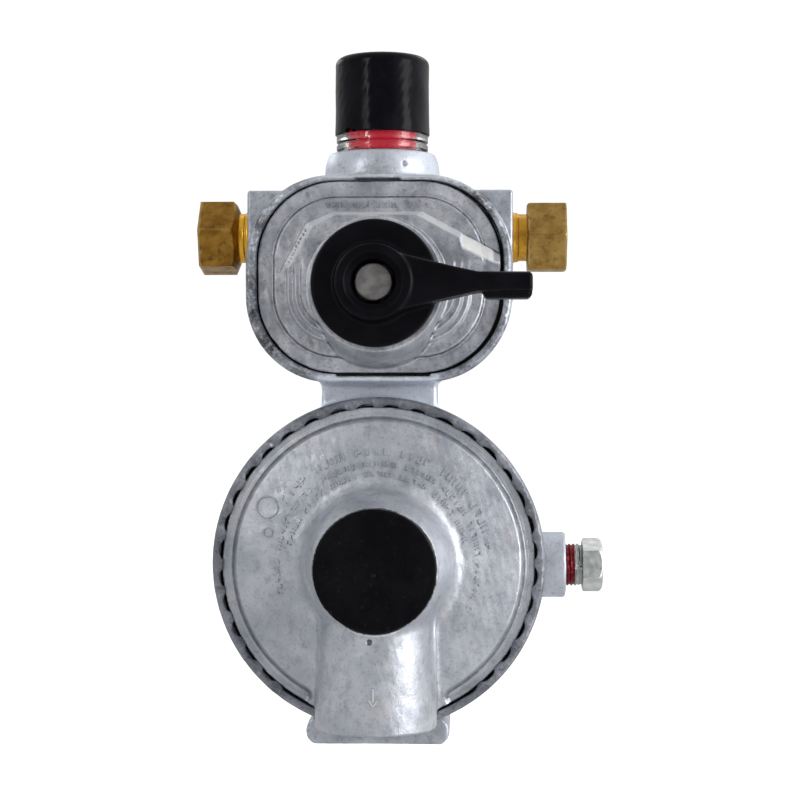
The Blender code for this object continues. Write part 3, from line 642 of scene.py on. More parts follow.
def passages(p):
    """Everything bored into the casting, as one field to cut away."""
    outlet, tap = (0, OUTLET_FORWARD, 0), (0, TAP_FORWARD, TAP_Z)
    orifice, glass = (0, ORIFICE_FORWARD, 0), (GLASS_X, GLASS_FORWARD, 0)
    inlet = (0, INLET_FORWARD, INLET_Z)
    bores = [  # axis, a point on it, radius, and where it starts and ends
        ("up", outlet, 6, -34, -27),
        ("x", tap, 5.4, 35.3, 60),
        ("x", tap, 1.2, 29, 36),
        ("front", (0, 0, KNOB_Z), 16, 17, 24),
        ("up", orifice, 2.2, 34, 52),
        ("up", orifice, 4.9, 29, 36.6),
        ("up", inlet, 1.2, 76.6, 82),
        ("up", glass, 11.2, 95.2, 130),
        ("up", glass, 9.9, 89.2, 100),
        ("up", glass, 5.6, 81, 90),
        ("front", (0, 0, 14), 2.75, -9, 6),
        ("front", (0, 0, 54), 2.75, -9, 6),
    ]
    for side in (-1, 1):
        valve = (side * VALVE_X, 11.5, KNOB_Z)
        bores += [
            ("x", inlet, 7.15, *sorted((side * 20.8, side * 60))),
            ("x", inlet, 2.6, *sorted((side * 9, side * 22))),
            ("front", valve, 5.3, 12.7, 18),
            ("front", valve, 4.6, 4.8, 13),
            ("up", valve, 1.8, KNOB_Z, 77),
            ("front", (side * 9, 0, 17.2), 1.5, 4.2, 9),
        ]
    r, h = about(p, "up", outlet)
    mouth = np.maximum(cone(r, h, (8.4, -44), (7.7, -33.6)), between(h, -60, -33.6))
    return np.minimum.reduce([mouth] + [rod(p, *bore) for bore in bores])


def main_body(p):
    x, f, z = p
    r = length(x, z)
    back = cone(r, f, (35.5, 7.5), (31, 3))
    side = cone(r, f, (36.4, 22), (35.4, 7))
    bowl = rounded([meet(side, back, 1), between(f, 3, 30)], 0.6)
    flange = rounded([r - 38, between(f, 22.6, 30)], 0.5)
    pan_side = oblong(x, z, PAN_HALF_W, PAN_HALF_H, PAN_CORNER, (0, FIRST_Z))
    draft = np.clip(0.035 * (PAN_FRONT - f), 0, 1.2)
    pan = rounded([pan_side + draft, between(f, 3.2, PAN_FRONT)], 1.15)
    head = block(p, (-BLOCK_HALF_W, BLOCK_HALF_W), (4.2, 24.6), (60.5, 87), 0.7)
    neck = block(p, (-13.7, 13.3), (5, 24), (28, 48), 0.9)
    upper = join(join(pan, head, 0.9), neck, 2.2)
    solid = join(join(bowl, flange, 1.2), upper, 2)
    column = block(p, (-13.5, 13.5), (4.4, 28), (-41, -22), 1)
    foot = block(p, FOOT_X, (4, 28.5), (FOOT_BOTTOM + 0.12, -35.6), 1.2)
    off_middle = np.abs(z + 39.3)
    bow = 0.3 * off_middle + 0.7 * np.maximum(off_middle - 1.6, 0)
    foot = meet(foot, between(x, *FOOT_X) + bow, 0.3)
    solid = join(solid, join(column, foot, 0.7), 1.4)
    boss = rod(p, "x", (0, TAP_FORWARD, TAP_Z), 7.75, 28, 43.85, 0.6)
    solid = join(solid, boss, 1.2)
    r_top, h = about(p, "up", (GLASS_X, GLASS_FORWARD, 0))
    shoulder = cone(r_top, h, (13.6, 94), (12.2, 96.6))
    seat = rounded([meet(r_top - 13.65, shoulder, 1.2), between(h, 84, 96.2)], 0.5)
    solid = join(solid, seat, 1.1)
    pad = block(p, (-11, 11), (0.12, 6), (-8, 68), 0.5)
    solid = join(solid, pad, 1)
    solid = solid + 0.05 * uneven(p, 9, 3) + 0.02 * uneven(p, 2.6, 4)
    # hammered, uneven front of the rolled lip
    lip = ramp(f, 28.8, 30.4) * ramp(z, 38, 44) * ramp(-pan_side, 0.3, 1.4)
    solid = solid + lip * (0.14 * uneven(p, 2.4, 11) + 0.09 * uneven(p, 1.3, 12))
    solid = cut(solid, passages(p), blend=0.25)
    ledge = rounded([r - RIM_INNER, between(f, LEDGE, FAR)], 0.2)
    cavity = rounded([r - CAVITY_R, between(f, FLOOR, FAR)], 1)
    solid = cut(solid, np.minimum(ledge, cavity), blend=0.3)
    wide, tall = COVER_HALF_W + 0.6, COVER_HALF_H + 0.3
    window = oblong(x, z, wide, tall, COVER_CORNER, (0.28, COVER_Z))
    solid = cut(solid, rounded([window, between(f, 25, FAR)], 0.1), blend=0.7)
    pocket = rounded([pan_side + 1.4, between(f, 24.9, 28.4)], 0.2)
    recess = rounded([pan_side + 5.5, between(f, 23, 27)], 0.3)
    solid = cut(solid, pocket, recess, blend=0.25)
    top, low = COVER_Z + COVER_HALF_H, COVER_Z - COVER_HALF_H
    top_slot = block(p, (-5.6, 5.1), (27.5, FAR), (top - 0.4, top + 0.75), 0.1)
    low_slot = block(p, (-9.8, 11.9), (27.5, FAR), (low - 0.85, low + 0.4), 0.1)
    nick = rod(p, "front", (GLASS_X + 5.7, 0, 92.7), 0.55, GLASS_FORWARD + 11.9, FAR)
    return cut(solid, top_slot, low_slot, nick, blend=0.2)


def lip_grime(p):
    """Dark stains on the rolled lip round the first stage's cover, mostly low left and high right,
    and a darker band along its top.
    """
    x, f, z = p
    side = (0.55 * (z - FIRST_Z) / PAN_HALF_H + 0.55 * x / PAN_HALF_W) ** 2
    patch = 0.45 + 0.4 * side + 0.5 * uneven(p, 7, 13) + 0.3 * ramp(z, 83, 87)
    return np.clip(patch, 0, 1) * ramp(f, 29, 30.4) * ramp(z, 40, 44)


def painted_light_on_casting(p):
    """Painted light on the casting, where light falls: the neck, its top and the tap boss, with two
    small bright spots.
    """
    x, f, z = p
    neck = ramp(between(x, -14.2, 13.8), 0.6, -0.2) * ramp(between(z, 34, 43.2), 0.8, -0.4)
    top = 0.5 * ramp(z, 86, 88.5) * (0.7 + 0.3 * ramp(x, -6, 4))
    tap = 0.4 * ramp(x, 37.5, 38.5) * ramp(z, 40, 30)
    bright_spots = bump(length(x + 10.6, z - 43.9), 0, 1) + bump(length(x - 12.8, z - 44.2), 0, 0.9)
    return np.clip(np.maximum(neck * ramp(f, 20, 23), top) + tap + bright_spots, 0, 1)


def casting():
    low = (-BLOCK_HALF_W - 8.5, -0.9, FOOT_BOTTOM - 1.2)
    high = (44.9, PAN_FRONT + 1.4, 97.2)
    finish = (ALUMINIUM, "cast_aluminium", "main_body")
    marked = {"grime": lip_grime, "brightened": painted_light_on_casting}
    skin("body_casting", main_body, low, high, 0.5, 0.34, *finish, **marked)


SCALLOPS = 36
# depth, share of the pitch, and lean
SCALLOP_RANGES = (0.75, 1.1), (0.62, 0.8), (-0.05, 0.05)
SCALLOP_END = 30  # degrees either side of straight down, where the vent tube hides the rim


def rolled_rim():
    """The second stage's rim, rolled over the bonnet and staked down at every scallop."""
    angles = np.arange(SCALLOPS * 26) * math.tau / (SCALLOPS * 26)
    draw = np.random.default_rng(8)
    pitch = math.tau / SCALLOPS
    index = np.floor(angles / pitch).astype(int)
    phase = angles / pitch - index - 0.5
    depth, width, lean = (draw.uniform(*ends, SCALLOPS)[index] for ends in SCALLOP_RANGES)
    arc = np.clip(1 - (2 * (phase - lean) / width) ** 2, 0, 1)
    dent = (1 - ramp(arc, 0, 0.35)) * draw.uniform(0.35, 1, SCALLOPS)[index]
    below = np.abs((np.degrees(angles) + 90 + 180) % 360 - 180)
    plain = 1 - ramp(below, SCALLOP_END, SCALLOP_END + 14)
    bite = depth * arc**0.75 * (1 - plain) + 0.6 * plain
    dent = dent * (1 - plain)
    inner = 35.95 + bite
    side, x, z = RIM_INNER + 0.1, np.cos(angles), np.sin(angles)
    rough = [0.12 * uneven((40 * x, k, 40 * z), 3, 20 + k) for k in range(3)]
    section = [  # (radius, forward) round the rim's outline
        (38.05, 24.7),
        (38.4, 24.6),
        (38.5, 25),
        (38.5, 28.5),
        (38.5, 30.8 + rough[0]),
        (38.38, 31.5 + rough[0]),
        (38.1, 32.05 + rough[1]),
        (37.8, 32.3 + rough[1] - 0.15 * dent),
        (inner + 0.75, 32.35 + rough[2] - 0.5 * dent),
        (inner + 0.35, 32.15 + rough[2] - 0.85 * dent),
        (inner + 0.08, 31.9 - 0.85 * dent),
        (inner, 31.6 - 0.75 * dent),
        (inner + 0.1, 31.3 - 0.5 * dent),
        (inner + 0.3, 31.1 - 0.35 * dent),
        (np.maximum(inner + 0.32, side), 31),
        (side + 0.02, 30.5),
        (side, 28),
        (side, 25.9),
        (37.5, 25.75),
        (38, 25.6),
    ]
    rings = [np.stack(np.broadcast_arrays(r * x, f, r * z), axis=1) for r, f in section]
    obj = swept("rolled_rim", np.stack(rings, axis=1))
    level = np.tile(np.linspace(0, 1, len(section)), len(angles))
    # painted shade on the rim's inner and under side, which is tucked against the bonnet
    mark(obj.data, "hollow", np.where(level > 0.62, 1, np.where(level > 0.5, 0.25, 0.05)))
    finished(obj, RIM_METAL, "cast_aluminium")


# ---- first stage cover

PLATFORM = [  # plan corners (x, z) of the raised platform's foot, each side's slope and first x
    ((-22.3, 68.9), (-17.1, 78.7), 1.6, -90),
    ((-17.1, 78.7), (-10.9, 81.5), 2.1, -90),
    ((-10.9, 81.5), (10.3, 81.5), 3, -90),
    ((10.3, 81.5), (19.8, 76.3), 2, -90),
    ((19.8, 76.3), (28, 72.4), 0.95, 19.6),
]
COVER_LEVEL = 29.6
PLATFORM_RISE = 3.4
TERRACES = (6.9, 8.7, 10.5)


def cover_height(x, z):
    """How far forward the cover's front is, before the tower."""
    inset = -oblong(x, z, COVER_HALF_W, COVER_HALF_H, COVER_CORNER, (0, COVER_Z))
    height = COVER_LEVEL - 0.2 * bump(inset, 3.3, 0.4) + 0.6 * ramp(inset, 3.4, 4.3)
    raised = PLATFORM_RISE * np.ones_like(x)
    for start, end, slope, first in PLATFORM:
        way = np.subtract(end, start) / math.dist(start, end)
        depth = (x - start[0]) * way[1] - (z - start[1]) * way[0]
        beyond = 4 * ramp(-x, -first, 1.8 - first)
        raised = np.minimum(raised, np.maximum(depth * slope, 0) + beyond)
    steps = 0
    for edge in TERRACES:
        steps = steps + 1.2 * ramp(inset, edge - 0.4, edge + 0.4)
        steps = steps + 0.22 * bump(inset, edge + 0.45, 0.4)
    upper = ramp(z, 66, 70.5)
    lower = steps * (1 - upper) + PLATFORM_RISE * upper
    return height + np.minimum(raised, lower), inset, raised


def cover_facets(p):
    """Where a highlight is painted on the platform's upper bevels."""
    x, f, z = p
    height, inset, raised = cover_height(x, z)
    strip = ramp(raised, 0.15, 0.6) * ramp(-raised, -3.3, -2.9) * ramp(z, 67.6, 69.6)
    return strip * ramp(-np.abs(f - height), -0.6, -0.3) * ramp(inset, 1.2, 1.8)


def first_cover(p):
    x, f, z = p
    height, inset, _ = cover_height(x, z)
    edge = rounded([-inset, between(f, 26.8, 60)], 0.3)
    plate = meet(0.5 * (f - height), edge, 0.25)
    r = length(x, z - KNOB_Z)
    flare = 0.06 + 0.17 * ramp((KNOB_Z - z) / np.maximum(r, 1), 0.55, 0.95)
    tower = meet((r - 15.3 - (44 - f) * flare) * 0.97, between(f, 27, 44.3), 0.5)
    front = join(plate, tower, 0.7)
    front = front + 0.04 * uneven(p, 6, 31) + 0.018 * uneven(p, 1.9, 32)
    hollow = meet(0.55 * (f - height + 2.1), 6.2 - inset, 0.4)
    bore = meet(cone(r, f, (13.6, 32.4), (12.9, 42.3)), f - 42.3, 0.4)
    inside = np.maximum(join(hollow, bore, 1), 20 - f)
    lower = rounded([6 - inset, f - 27.9], 0.2)
    inside = np.minimum(inside, np.maximum(lower, 20 - f))
    return cut(front, inside, rod(p, "front", (0, 0, KNOB_Z), 7.7, 20, 60), blend=0.3)


def cover():
    low = (-COVER_HALF_W - 1, 26, COVER_Z - COVER_HALF_H - 1)
    high = (COVER_HALF_W + 1, 45.2, COVER_Z + COVER_HALF_H + 1)
    finish = (COVER_METAL, "cast_aluminium", "first_stage_cover")
    skin("stage_one_cover", first_cover, low, high, 0.25, 0.4, *finish, facet=cover_facets)


# ---- second stage bonnet

SHELF_R = 35.4
SHELF_END = 30  # degrees from straight down, where the shelf stops beside the vent tube
SHELF_LEVEL = 30.75
DISH_SLOPE = 0.235
TUBE_R = 12.95
TUBE_FLARE = 0.95  # how much wider the vent tube is at its mouth


def dish_height(r):
    return 35 - DISH_SLOPE * (r - 21.5)


def tube_taper(z):
    """How far down the vent tube's taper: 0 at its root and 1 near its mouth."""
    return np.clip((-12 - z) / 24, 0, 1)


def shelf_distance(x, z, r):
    """Distance in plan from the middle of the low shelf that the rim is rolled onto."""
    turn = np.abs(np.arctan2(x, -z))
    end = math.radians(SHELF_END)
    tip = (SHELF_R * math.sin(end), -SHELF_R * math.cos(end))
    return np.where(turn > end, np.abs(r - SHELF_R), length(np.abs(x) - tip[0], z - tip[1]))


def bonnet_field(p):
    x, f, z = p
    r = length(x, z)
    rise = ramp(shelf_distance(x, z, r), 1.15, 2.75)
    height = SHELF_LEVEL * (1 - rise) + dish_height(r) * rise
    height = height - 0.13 * bump(r, 34.9, 0.22) * (1 - rise)
    height = height - 0.16 * ramp(-length(x + 25.5, z - 13.1), -2.6, -2.3)
    wall = meet(0.75 * (f - height), r - 36.2, 0.25)
    plate = np.maximum(wall, 28.1 - f)
    upper, lower = cone(r, f, (16.3, 42), (14.8, 50)), cone(r, f, (18.4, 36), (16.3, 42))
    hub = meet(meet(upper, lower, 0.8), between(f, 28.2, HUB_TOP), 0.45)
    top = join(plate, hub, 2.5)
    taper = tube_taper(z)
    tube = length(x + 0.1 + 0.35 * taper, np.maximum(f - TUBE_FORWARD, 0))
    tube = meet(tube - TUBE_R - TUBE_FLARE * taper, between(z, TUBE_END, 0), 0.5)
    tube = np.maximum(tube, 31 - f)
    top = join(top, tube, 1.6)
    ridge = length(x - 13, f - 37.4, np.maximum(between(z, -35, -10), 0)) - 0.35
    soft = length(x + 12.7, f - 38.4, np.maximum(between(z, -22, -9), 0)) - 0.2
    top = join(join(top, ridge, 0.9), soft, 1.2)
    top = np.maximum(top, 28.05 - f)
    top = top + 0.06 * uneven(p, 8, 41) + 0.025 * uneven(p, 2.2, 42)
    shell = np.maximum(0.95 * (f - dish_height(r) + 2.5), r - 31.8)
    throat = np.maximum(cone(r, f, (17.5, 32.6), (13.2, 37.2)), f - 38.4)
    chamber = np.minimum(np.minimum(shell, throat), rounded([r - 12.5, f - 48.3], 0.2))
    seat = rounded([r - 14.05, between(f, 48.3, 60)], 0.15)
    pit = length(x + 1.2, f - TUBE_FORWARD - 13.3, z + 15.8) - 0.75
    vent = np.minimum(
        np.maximum(length(x, f - VENT_FORWARD) - 6, between(z, -31, -12)),
        np.maximum(length(x, f - VENT_FORWARD) - 7.2, between(z, -60, -30.5)),
    )
    return cut(top, np.maximum(chamber, 20 - f), seat, vent, pit, blend=0.3)


def bonnet():
    low, high = (-37.4, 27.2, -37.6), (37.4, HUB_TOP + 1, 37.6)
    finish = (BONNET_METAL, "cast_aluminium", "second_stage_bonnet")
    skin("stage_two_bonnet", bonnet_field, low, high, 0.33, 0.36, *finish)


# ---- raised marks, in place of lettering

FRONT = Vector((0, -1, 0))
MARK_ROWS = (  # radius, height, first and last degrees, pitch, and marks to each word
    (26, 2.1, 145, 8, 2.05, 5),
    (23.2, 1.45, 196, -27, 1.42, 7),
    (20.9, 1.4, 166, 16, 1.4, 6),
)
ARROW = (  # x, z, lean and length of its two barbs and its shaft
    (-0.8, -29.2, -0.55, 1.8),
    (0.2, -29.2, 0.55, 1.8),
    (-0.3, -27.6, 0, 3.6),
)


def bar(shape, at, along, out, size, bright=0):
    """A small raised bar: size is (width, length, height) and out points away from the surface."""
    layers = shape.verts.layers.float
    hollow, facet = (layers.get(name) or layers.new(name) for name in ("hollow", "facet"))
    made = bmesh.ops.create_cube(shape, size=1)["verts"]
    top = [v for v in made if v.co.z > 0]
    # painted shade at each bar's foot, through hollow, and a painted highlight of strength bright
    # on its top
    for vert in made:
        vert[hollow], vert[facet] = (0, bright) if vert in top else (1, 0)
    bmesh.ops.scale(shape, vec=(0.6, 0.86, 1), verts=top)
    bmesh.ops.scale(shape, vec=size, verts=made)
    place = Matrix((along.cross(out), along, out)).transposed().to_4x4()
    place.translation = at
    bmesh.ops.transform(shape, matrix=place, verts=made)


def glyph(shape, draw, centre, along, out, tall):
    """One generic mark: a dash, a pair of dashes, or a dash with a short foot."""
    kind = int(draw.integers(0, 4))
    wide, thick = 0.26 * tall, 0.15 * tall
    for offset in ([0], [-wide, wide], [-wide], [wide])[kind]:
        spot = centre + along.cross(out) * offset
        bar(shape, spot, along, out, (1.5 * thick, tall * 0.9, 0.7))
    if kind >= 2:
        level = draw.choice([-0.38, 0, 0.38]) * tall
        bar(shape, centre + along * level, along, out, (2.6 * wide, 1.5 * thick, 0.64))


def on_dish(x, z):
    return Vector((x, -dish_height(math.hypot(x, z)), z))


def bonnet_marks():
    """Three curved rows of small dashes, a ring and a dot, cast proud of the bonnet."""
    shape = bmesh.new()
    draw = np.random.default_rng(5)
    slope = math.atan(DISH_SLOPE)
    for radius, tall, start, end, pitch, word in MARK_ROWS:
        step = math.degrees(pitch / radius)
        for i in range(math.ceil((start - end) / step)):
            if (i + 1) % word == 0:
                continue
            a = math.radians(start - i * step)
            radial = Vector((math.cos(a), 0, math.sin(a)))
            out = radial * math.sin(slope) - Vector((0, math.cos(slope), 0))
            along = (radial - out * radial.dot(out)).normalized()
            glyph(shape, draw, on_dish(radius * radial.x, radius * radial.z), along, out, tall)
    for x, z, radius, sides in ((-25.5, 13.1, 2.5, 40), (-25.3, 7.3, 1, 8)):
        for i in range(sides):
            a = math.tau * (i + 0.5) / sides
            spot = on_dish(x + radius * math.cos(a), z + radius * math.sin(a))
            way = Vector((-math.sin(a), 0, math.cos(a)))
            bar(shape, spot, way, FRONT, (0.4, 1.08 * math.tau * radius / sides, 0.5))
    # a plain arrow on the vent tube, pointing the way the gas leaves
    for x, z, lean, tall in ARROW:
        front = TUBE_FORWARD + TUBE_R + TUBE_FLARE * tube_taper(z)
        way = Vector((lean, -0.04, 0.83)).normalized()
        # the arrow's top carries a painted highlight
        bar(shape, Vector((x, -front, z)), way, FRONT, (0.55, tall, 0.5), 0.5)
    finished(from_bmesh("bonnet_marks", shape, 40), BONNET_METAL, "cast_aluminium")


def cover_marks():
    """A row of small dashes along the cover's top, and another down the platform's left bevel."""
    shape = bmesh.new()
    draw = np.random.default_rng(6)

    def row(spots, along, out, tall):
        for spot in spots:
            spot.y = -float(cover_height(spot.x, spot.z)[0])
            glyph(shape, draw, spot, along, out, tall)

    top = [Vector((-11.3 + 1.06 * i, 0, 82.95)) for i in range(23) if i % 6 != 4]
    row(top, Vector((0, 0, 1)), FRONT, 1.5)
    start, end = Vector((-21.8, 0, 69.4)), Vector((-17.4, 0, 78.1))
    way = (end - start).normalized()
    side = Vector((way.z, 0, -way.x))
    tilt = math.atan(PLATFORM[0][2])
    out = FRONT * math.cos(tilt) - side * math.sin(tilt)
    bevel = [start + way * (0.7 + 1.02 * i) + side * 0.95 for i in range(9)]
    row(bevel, out.cross(way).normalized(), out, 1.05)
    finished(from_bmesh("cover_marks", shape, 40), COVER_METAL, "cast_aluminium")


# ---- selector

ARM_X = (0, 6, 13.9, 22.8, 33, 40)
ARM_HALF = (7.6, 6.5, 4.45, 2.45, 2.25, 2.25)


def knob_field(p):
    x, f, z = p
    up = z - KNOB_Z
    r = length(x, up)
    disc = rounded([r - 14.2, between(f, 44.6, 49.9)], 0.7)
    hub = meet(cone(r, f, (8.9, 50), (8.3, 57)), between(f, 45, 56.9), 0.5)
    half = np.interp(x, ARM_X, ARM_HALF)
    taper = np.abs(up) - half + 0.05 * (f - 49.5)
    crown = 56.45 - 0.012 * up * up
    arm = rounded([0.97 * taper, between(x, 1, LEVER_TIP - 0.1), between(f, 49.4, crown)], 0.75)
    paddle = block((x, f, up), (24, LEVER_TIP - 0.05), (46, 54.4), (-3.65, 2.05), 1.2)
    knob = join(disc, hub, 1.1)
    knob = join(knob, join(arm, paddle, 0.7), 0.9)
    flare = meet(r - np.interp(f, (53, 55.2, 57, 58), (4.75, 5, 6.5, 6.9)), 52.6 - f, 0.2)
    knob = cut(knob, flare, blend=0.25)
    sleeve = rounded([r - 7.4, between(f, 39.5, 46)], 0.2)
    groove = np.maximum(6.9 - r, between(f, 40.5, 42))
    knob = np.minimum(knob, cut(sleeve, groove, blend=0.1))
    knob = knob + 0.02 * uneven(p, 5, 51)
    socket = block((x, f, up), (-4.6, 4.6), (30, 51.6), (-4.6, 4.6), 0.2)
    return cut(knob, socket, rod((x, f, up), "front", (0, 0, 0), 4.6, 50, 54), blend=0.15)


def spindle_field(p):
    at = (0, 0, KNOB_Z)
    r, f = about(p, "front", at)
    top = 54.4 - 0.02 * r * r
    end = rounded([r - 4.2 + 0.02 * np.maximum(f - 52, 0), between(f, 49, top)], 0.4)
    shaft = rod(p, "front", at, 3, 22.7, 50)
    drive = block(p, (-4.3, 4.3), (36, 50), (KNOB_Z - 4.3, KNOB_Z + 4.3), 0.3)
    tail = rod(p, "front", at, 2.2, 20, 23)
    rivet = rod(p, "front", at, 3.6, 19.3, 20.7, 0.3)
    return np.minimum.reduce([end, shaft, drive, tail, rivet])


def selector():
    low, high = (-15, 38.8, KNOB_Z - 15), (LEVER_TIP + 0.8, 57.8, KNOB_Z + 15)
    finish = (BLACK, "black_plastic", "selector_knob")
    skin("changeover_knob", knob_field, low, high, 0.24, 0.42, *finish, body="selector")
    low, high = (-6, 18.6, KNOB_Z - 6), (6, 55.2, KNOB_Z + 6)
    finish = (STUD, "zinc_steel", "selector_spindle")
    skin("selector_shaft", spindle_field, low, high, 0.22, 0.35, *finish, body="spindle")


# ---- fittings and plug

THREAD_PITCH = 1.41
PLUG_PITCH = 0.94
FITTING_FLAT = 7.937  # half of 5/8 inch
PLUG_FLAT = 5.556  # half of 7/16 inch


def zigzag(turns):
    """A thread's shape: 0 half way round each turn and 1 where the turns meet."""
    return 2 * np.abs(turns - np.floor(turns) - 0.5)


def fitting_field(side, hex_start, hex_end, neck, turn, hip, rim):
    """Brass adapter: taper thread in the block, neck, hexagon, socket with a flare seat."""

    def field(p):
        across, f, z = side * p[0], p[1] - INLET_FORWARD, p[2] - INLET_Z
        r = length(f, z)
        # turn 0 puts a corner at the top, and a positive turn brings the front corner up
        flats = hexagon(z, f, FITTING_FLAT, turn)
        chamfer_in = (r - hip - (across - hex_start) * 2.3) * 0.4
        chamfer_out = (r - rim - (hex_end - across) * 1.3) * 0.61
        nut = meet(flats, between(across, hex_start, hex_end), 0.25)
        nut = meet(meet(nut, chamfer_in, 0.2), chamfer_out, 0.2)
        flare_out = 0.45 * ramp(across, 32.6, 31.4) + 0.25 * bump(across, 32.4, 0.3)
        waist = meet(r - neck - flare_out, between(across, 30.6, hex_end - 1), 0.3)
        turns = across / THREAD_PITCH + np.arctan2(z, f) / math.tau
        taper = r - 6.65 - 0.18 * np.sin(math.tau * turns)
        stem = np.maximum(taper, between(across, 21.5, 31.2))
        solid = np.minimum(join(nut, waist, 0.35), stem)
        groove = 0.5 * (1 - zigzag(turns)) * ramp(across, hex_end - 7.6, hex_end - 7)
        socket_r = 5.3 + groove + 0.8 * ramp(across, hex_end - 0.9, hex_end + 0.1)
        seat = hex_end - 8.5
        socket = np.maximum((r - socket_r) * 0.8, seat - across)
        flare = np.maximum((r - (4.2 - (across - seat) * 0.9)) * 0.74, across - seat - 2)
        socket = np.maximum(socket, -np.maximum(flare, r - 4.2))
        passage = r - np.where(across < 25.5, 4.2, 2)
        return cut(solid, socket, passage, blend=0.12) + 0.012 * uneven(p, 3, 61)

    return field


def inlets():
    plans = (  # name, side, hexagon's start and end, neck, turn, and the radii of its two chamfers
        ("left", -1, 34, 43.36, 5.9, 20, 6.2, 9.3, BRASS_LEFT),
        ("right", 1, 34.75, 44.06, 5.6, 30, 8.2, 8.7, BRASS_RIGHT),
    )
    for name, side, start, end, *shape, look in plans:
        x = sorted((side * 20.9, side * (end + 0.7)))
        low, high = ((x[i], INLET_FORWARD + w, INLET_Z + w) for i, w in enumerate((-9.8, 9.8)))
        field = fitting_field(side, start, end, *shape)
        finish = (look, "brass", f"{name}_inlet_fitting")
        skin(f"{name}_flare_fitting", field, low, high, 0.22, 0.42, *finish)


def plug_field(p):
    x, f, z = p[0], p[1] - TAP_FORWARD, p[2] - TAP_Z
    r = length(f, z)
    groove = 0.48 * (1 - zigzag(x / PLUG_PITCH + np.arctan2(z, f) / math.tau))
    crest = 5.12 - 0.012 * (48 - x)
    thread = meet((r - crest + groove) * 0.7, between(x, 35.8, 47.2), 0.2)
    core = rod(p, "x", (0, TAP_FORWARD, TAP_Z), 4.7, 35.8, 50)
    head = meet(hexagon(z, f, PLUG_FLAT, -6), between(x, 47.85, 52.66), 0.25)
    head = meet(head, (r - 5.5 - (52.66 - x) * 1.15) * 0.66, 0.3)
    head = meet(head, (r - 5.95 - (x - 47.85) * 1.4) * 0.6, 0.2)
    return np.minimum(np.minimum(thread, core), head)


def plug():
    low = (35.2, TAP_FORWARD - 7, TAP_Z - 7)
    high = (53.3, TAP_FORWARD + 7, TAP_Z + 7)
    finish = (PLUG_STEEL, "zinc_steel", "pressure_tap_plug")
    skin("tap_plug", plug_field, low, high, 0.15, 0.4, *finish)


# ---- indicator and caps


def indicator_cap_field(p):
    x, f, z = p
    across, ahead = x - GLASS_X, f - GLASS_FORWARD
    r = length(across, ahead)
    side = r - 11.28 + 0.004 * (z - CAP_LOW)
    crown = z - CAP_HIGH + 0.03 + 0.003 * r * r
    shoulder = 2.1
    top = length(np.maximum(side + shoulder, 0), np.maximum(crown + shoulder, 0)) - shoulder
    outer = np.where(crown > -shoulder, top, side)
    outer = meet(np.maximum(side, CAP_LOW + 0.02 - z), outer, 0.3)
    nick = length(across + 7.6, ahead - 8.1, (z - CAP_LOW - 0.1) * 1.3) - 0.95
    dent = length(across + 6.3, ahead - 9, z - CAP_LOW + 0.2) - 0.7
    hollow = rounded([r - 10.1, between(z, 90, 116.6)], 0.4)
    wave = 0.05 * uneven(p, 7, 71) + 0.015 * uneven(p, 2, 72)
    return cut(outer + wave * ramp(CAP_HIGH - z, 0.2, 2), hollow, nick, dent, blend=0.2)


def closing_cap_field(p):
    x, f, z = p
    r = length(x, z)
    cap = rounded([r - 13.72, between(f, 48.65, 50.28)], 0.35)
    cap = cap + 0.05 * bump(r, 12.2, 0.22) * ramp(f, 49.6, 50)
    skirt = rounded([np.abs(r - 11.5) - 0.68, between(f, 45.65, 49.2)], 0.2)
    cap = join(cap, skirt, 0.2)
    sprue = length(x + 0.4, z + 0.9, (f - 50.2) * 1.3) - 0.7
    cap = np.where(f > 49.5, join(cap, np.maximum(sprue, f - 50.75), 0.15), cap)
    nick = length(x + 10.2, z + 9.6, f - 50.5) - 1
    low_nick = length(x, z + 14.2, f - 50.4) - 0.75
    smear = 0.03 * uneven(p, 5, 73) + 0.02 * uneven(p, 1.5, 74)
    return cut(cap + smear, nick, low_nick, blend=0.2)


def caps():
    low = (GLASS_X - 12, GLASS_FORWARD - 12, CAP_LOW - 0.8)
    high = (GLASS_X + 12, GLASS_FORWARD + 12, CAP_HIGH + 0.8)
    finish = (CAP_BLACK, "black_plastic", "indicator_cap")
    skin("indicator_cover", indicator_cap_field, low, high, 0.28, 0.4, *finish)
    low, high = (-14.6, 45, -14.6), (14.6, 51, 14.6)
    finish = (SCUFFED, "black_plastic", "closing_cap")
    skin("spring_cap", closing_cap_field, low, high, 0.2, 0.35, *finish, body="closing_cap")


def indicator():
    glass = [(0, 112.6), (9.8, 112.6), (9.8, 100.5), (10.9, 100.5), (10.9, 98.95), (10.3, 98.55)]
    glass += [(10.9, 98.15), (10.9, 97.1), (10.3, 96.7), (10.75, 96.3), (9.6, 96.25), (9.6, 90.9)]
    glass += [(8.8, 90.9), (8.8, 111.2), (0, 111.2)]
    window = turned("sight_glass", glass, 96, 0.12)
    finished(window, CLEAR, "clear_plastic", "indicator_window")
    sleeve = [(1.9, 102.4), (7.6, 102.4), (8.25, 101.8), (8.25, 96), (7.2, 96), (7.2, 101.2)]
    red = turned("red_sleeve", sleeve + [(1.9, 101.2)], 72)
    finished(red, RED, "red_plastic", "indicator_sleeve", body="indicator")
    band = [(7.2, 95.7), (8.25, 95.7), (8.25, 91.2), (7.2, 91.2)]
    green = turned("green_band", band, 72)
    finished(green, GREEN, "green_plastic", "indicator_green_band", body="indicator")


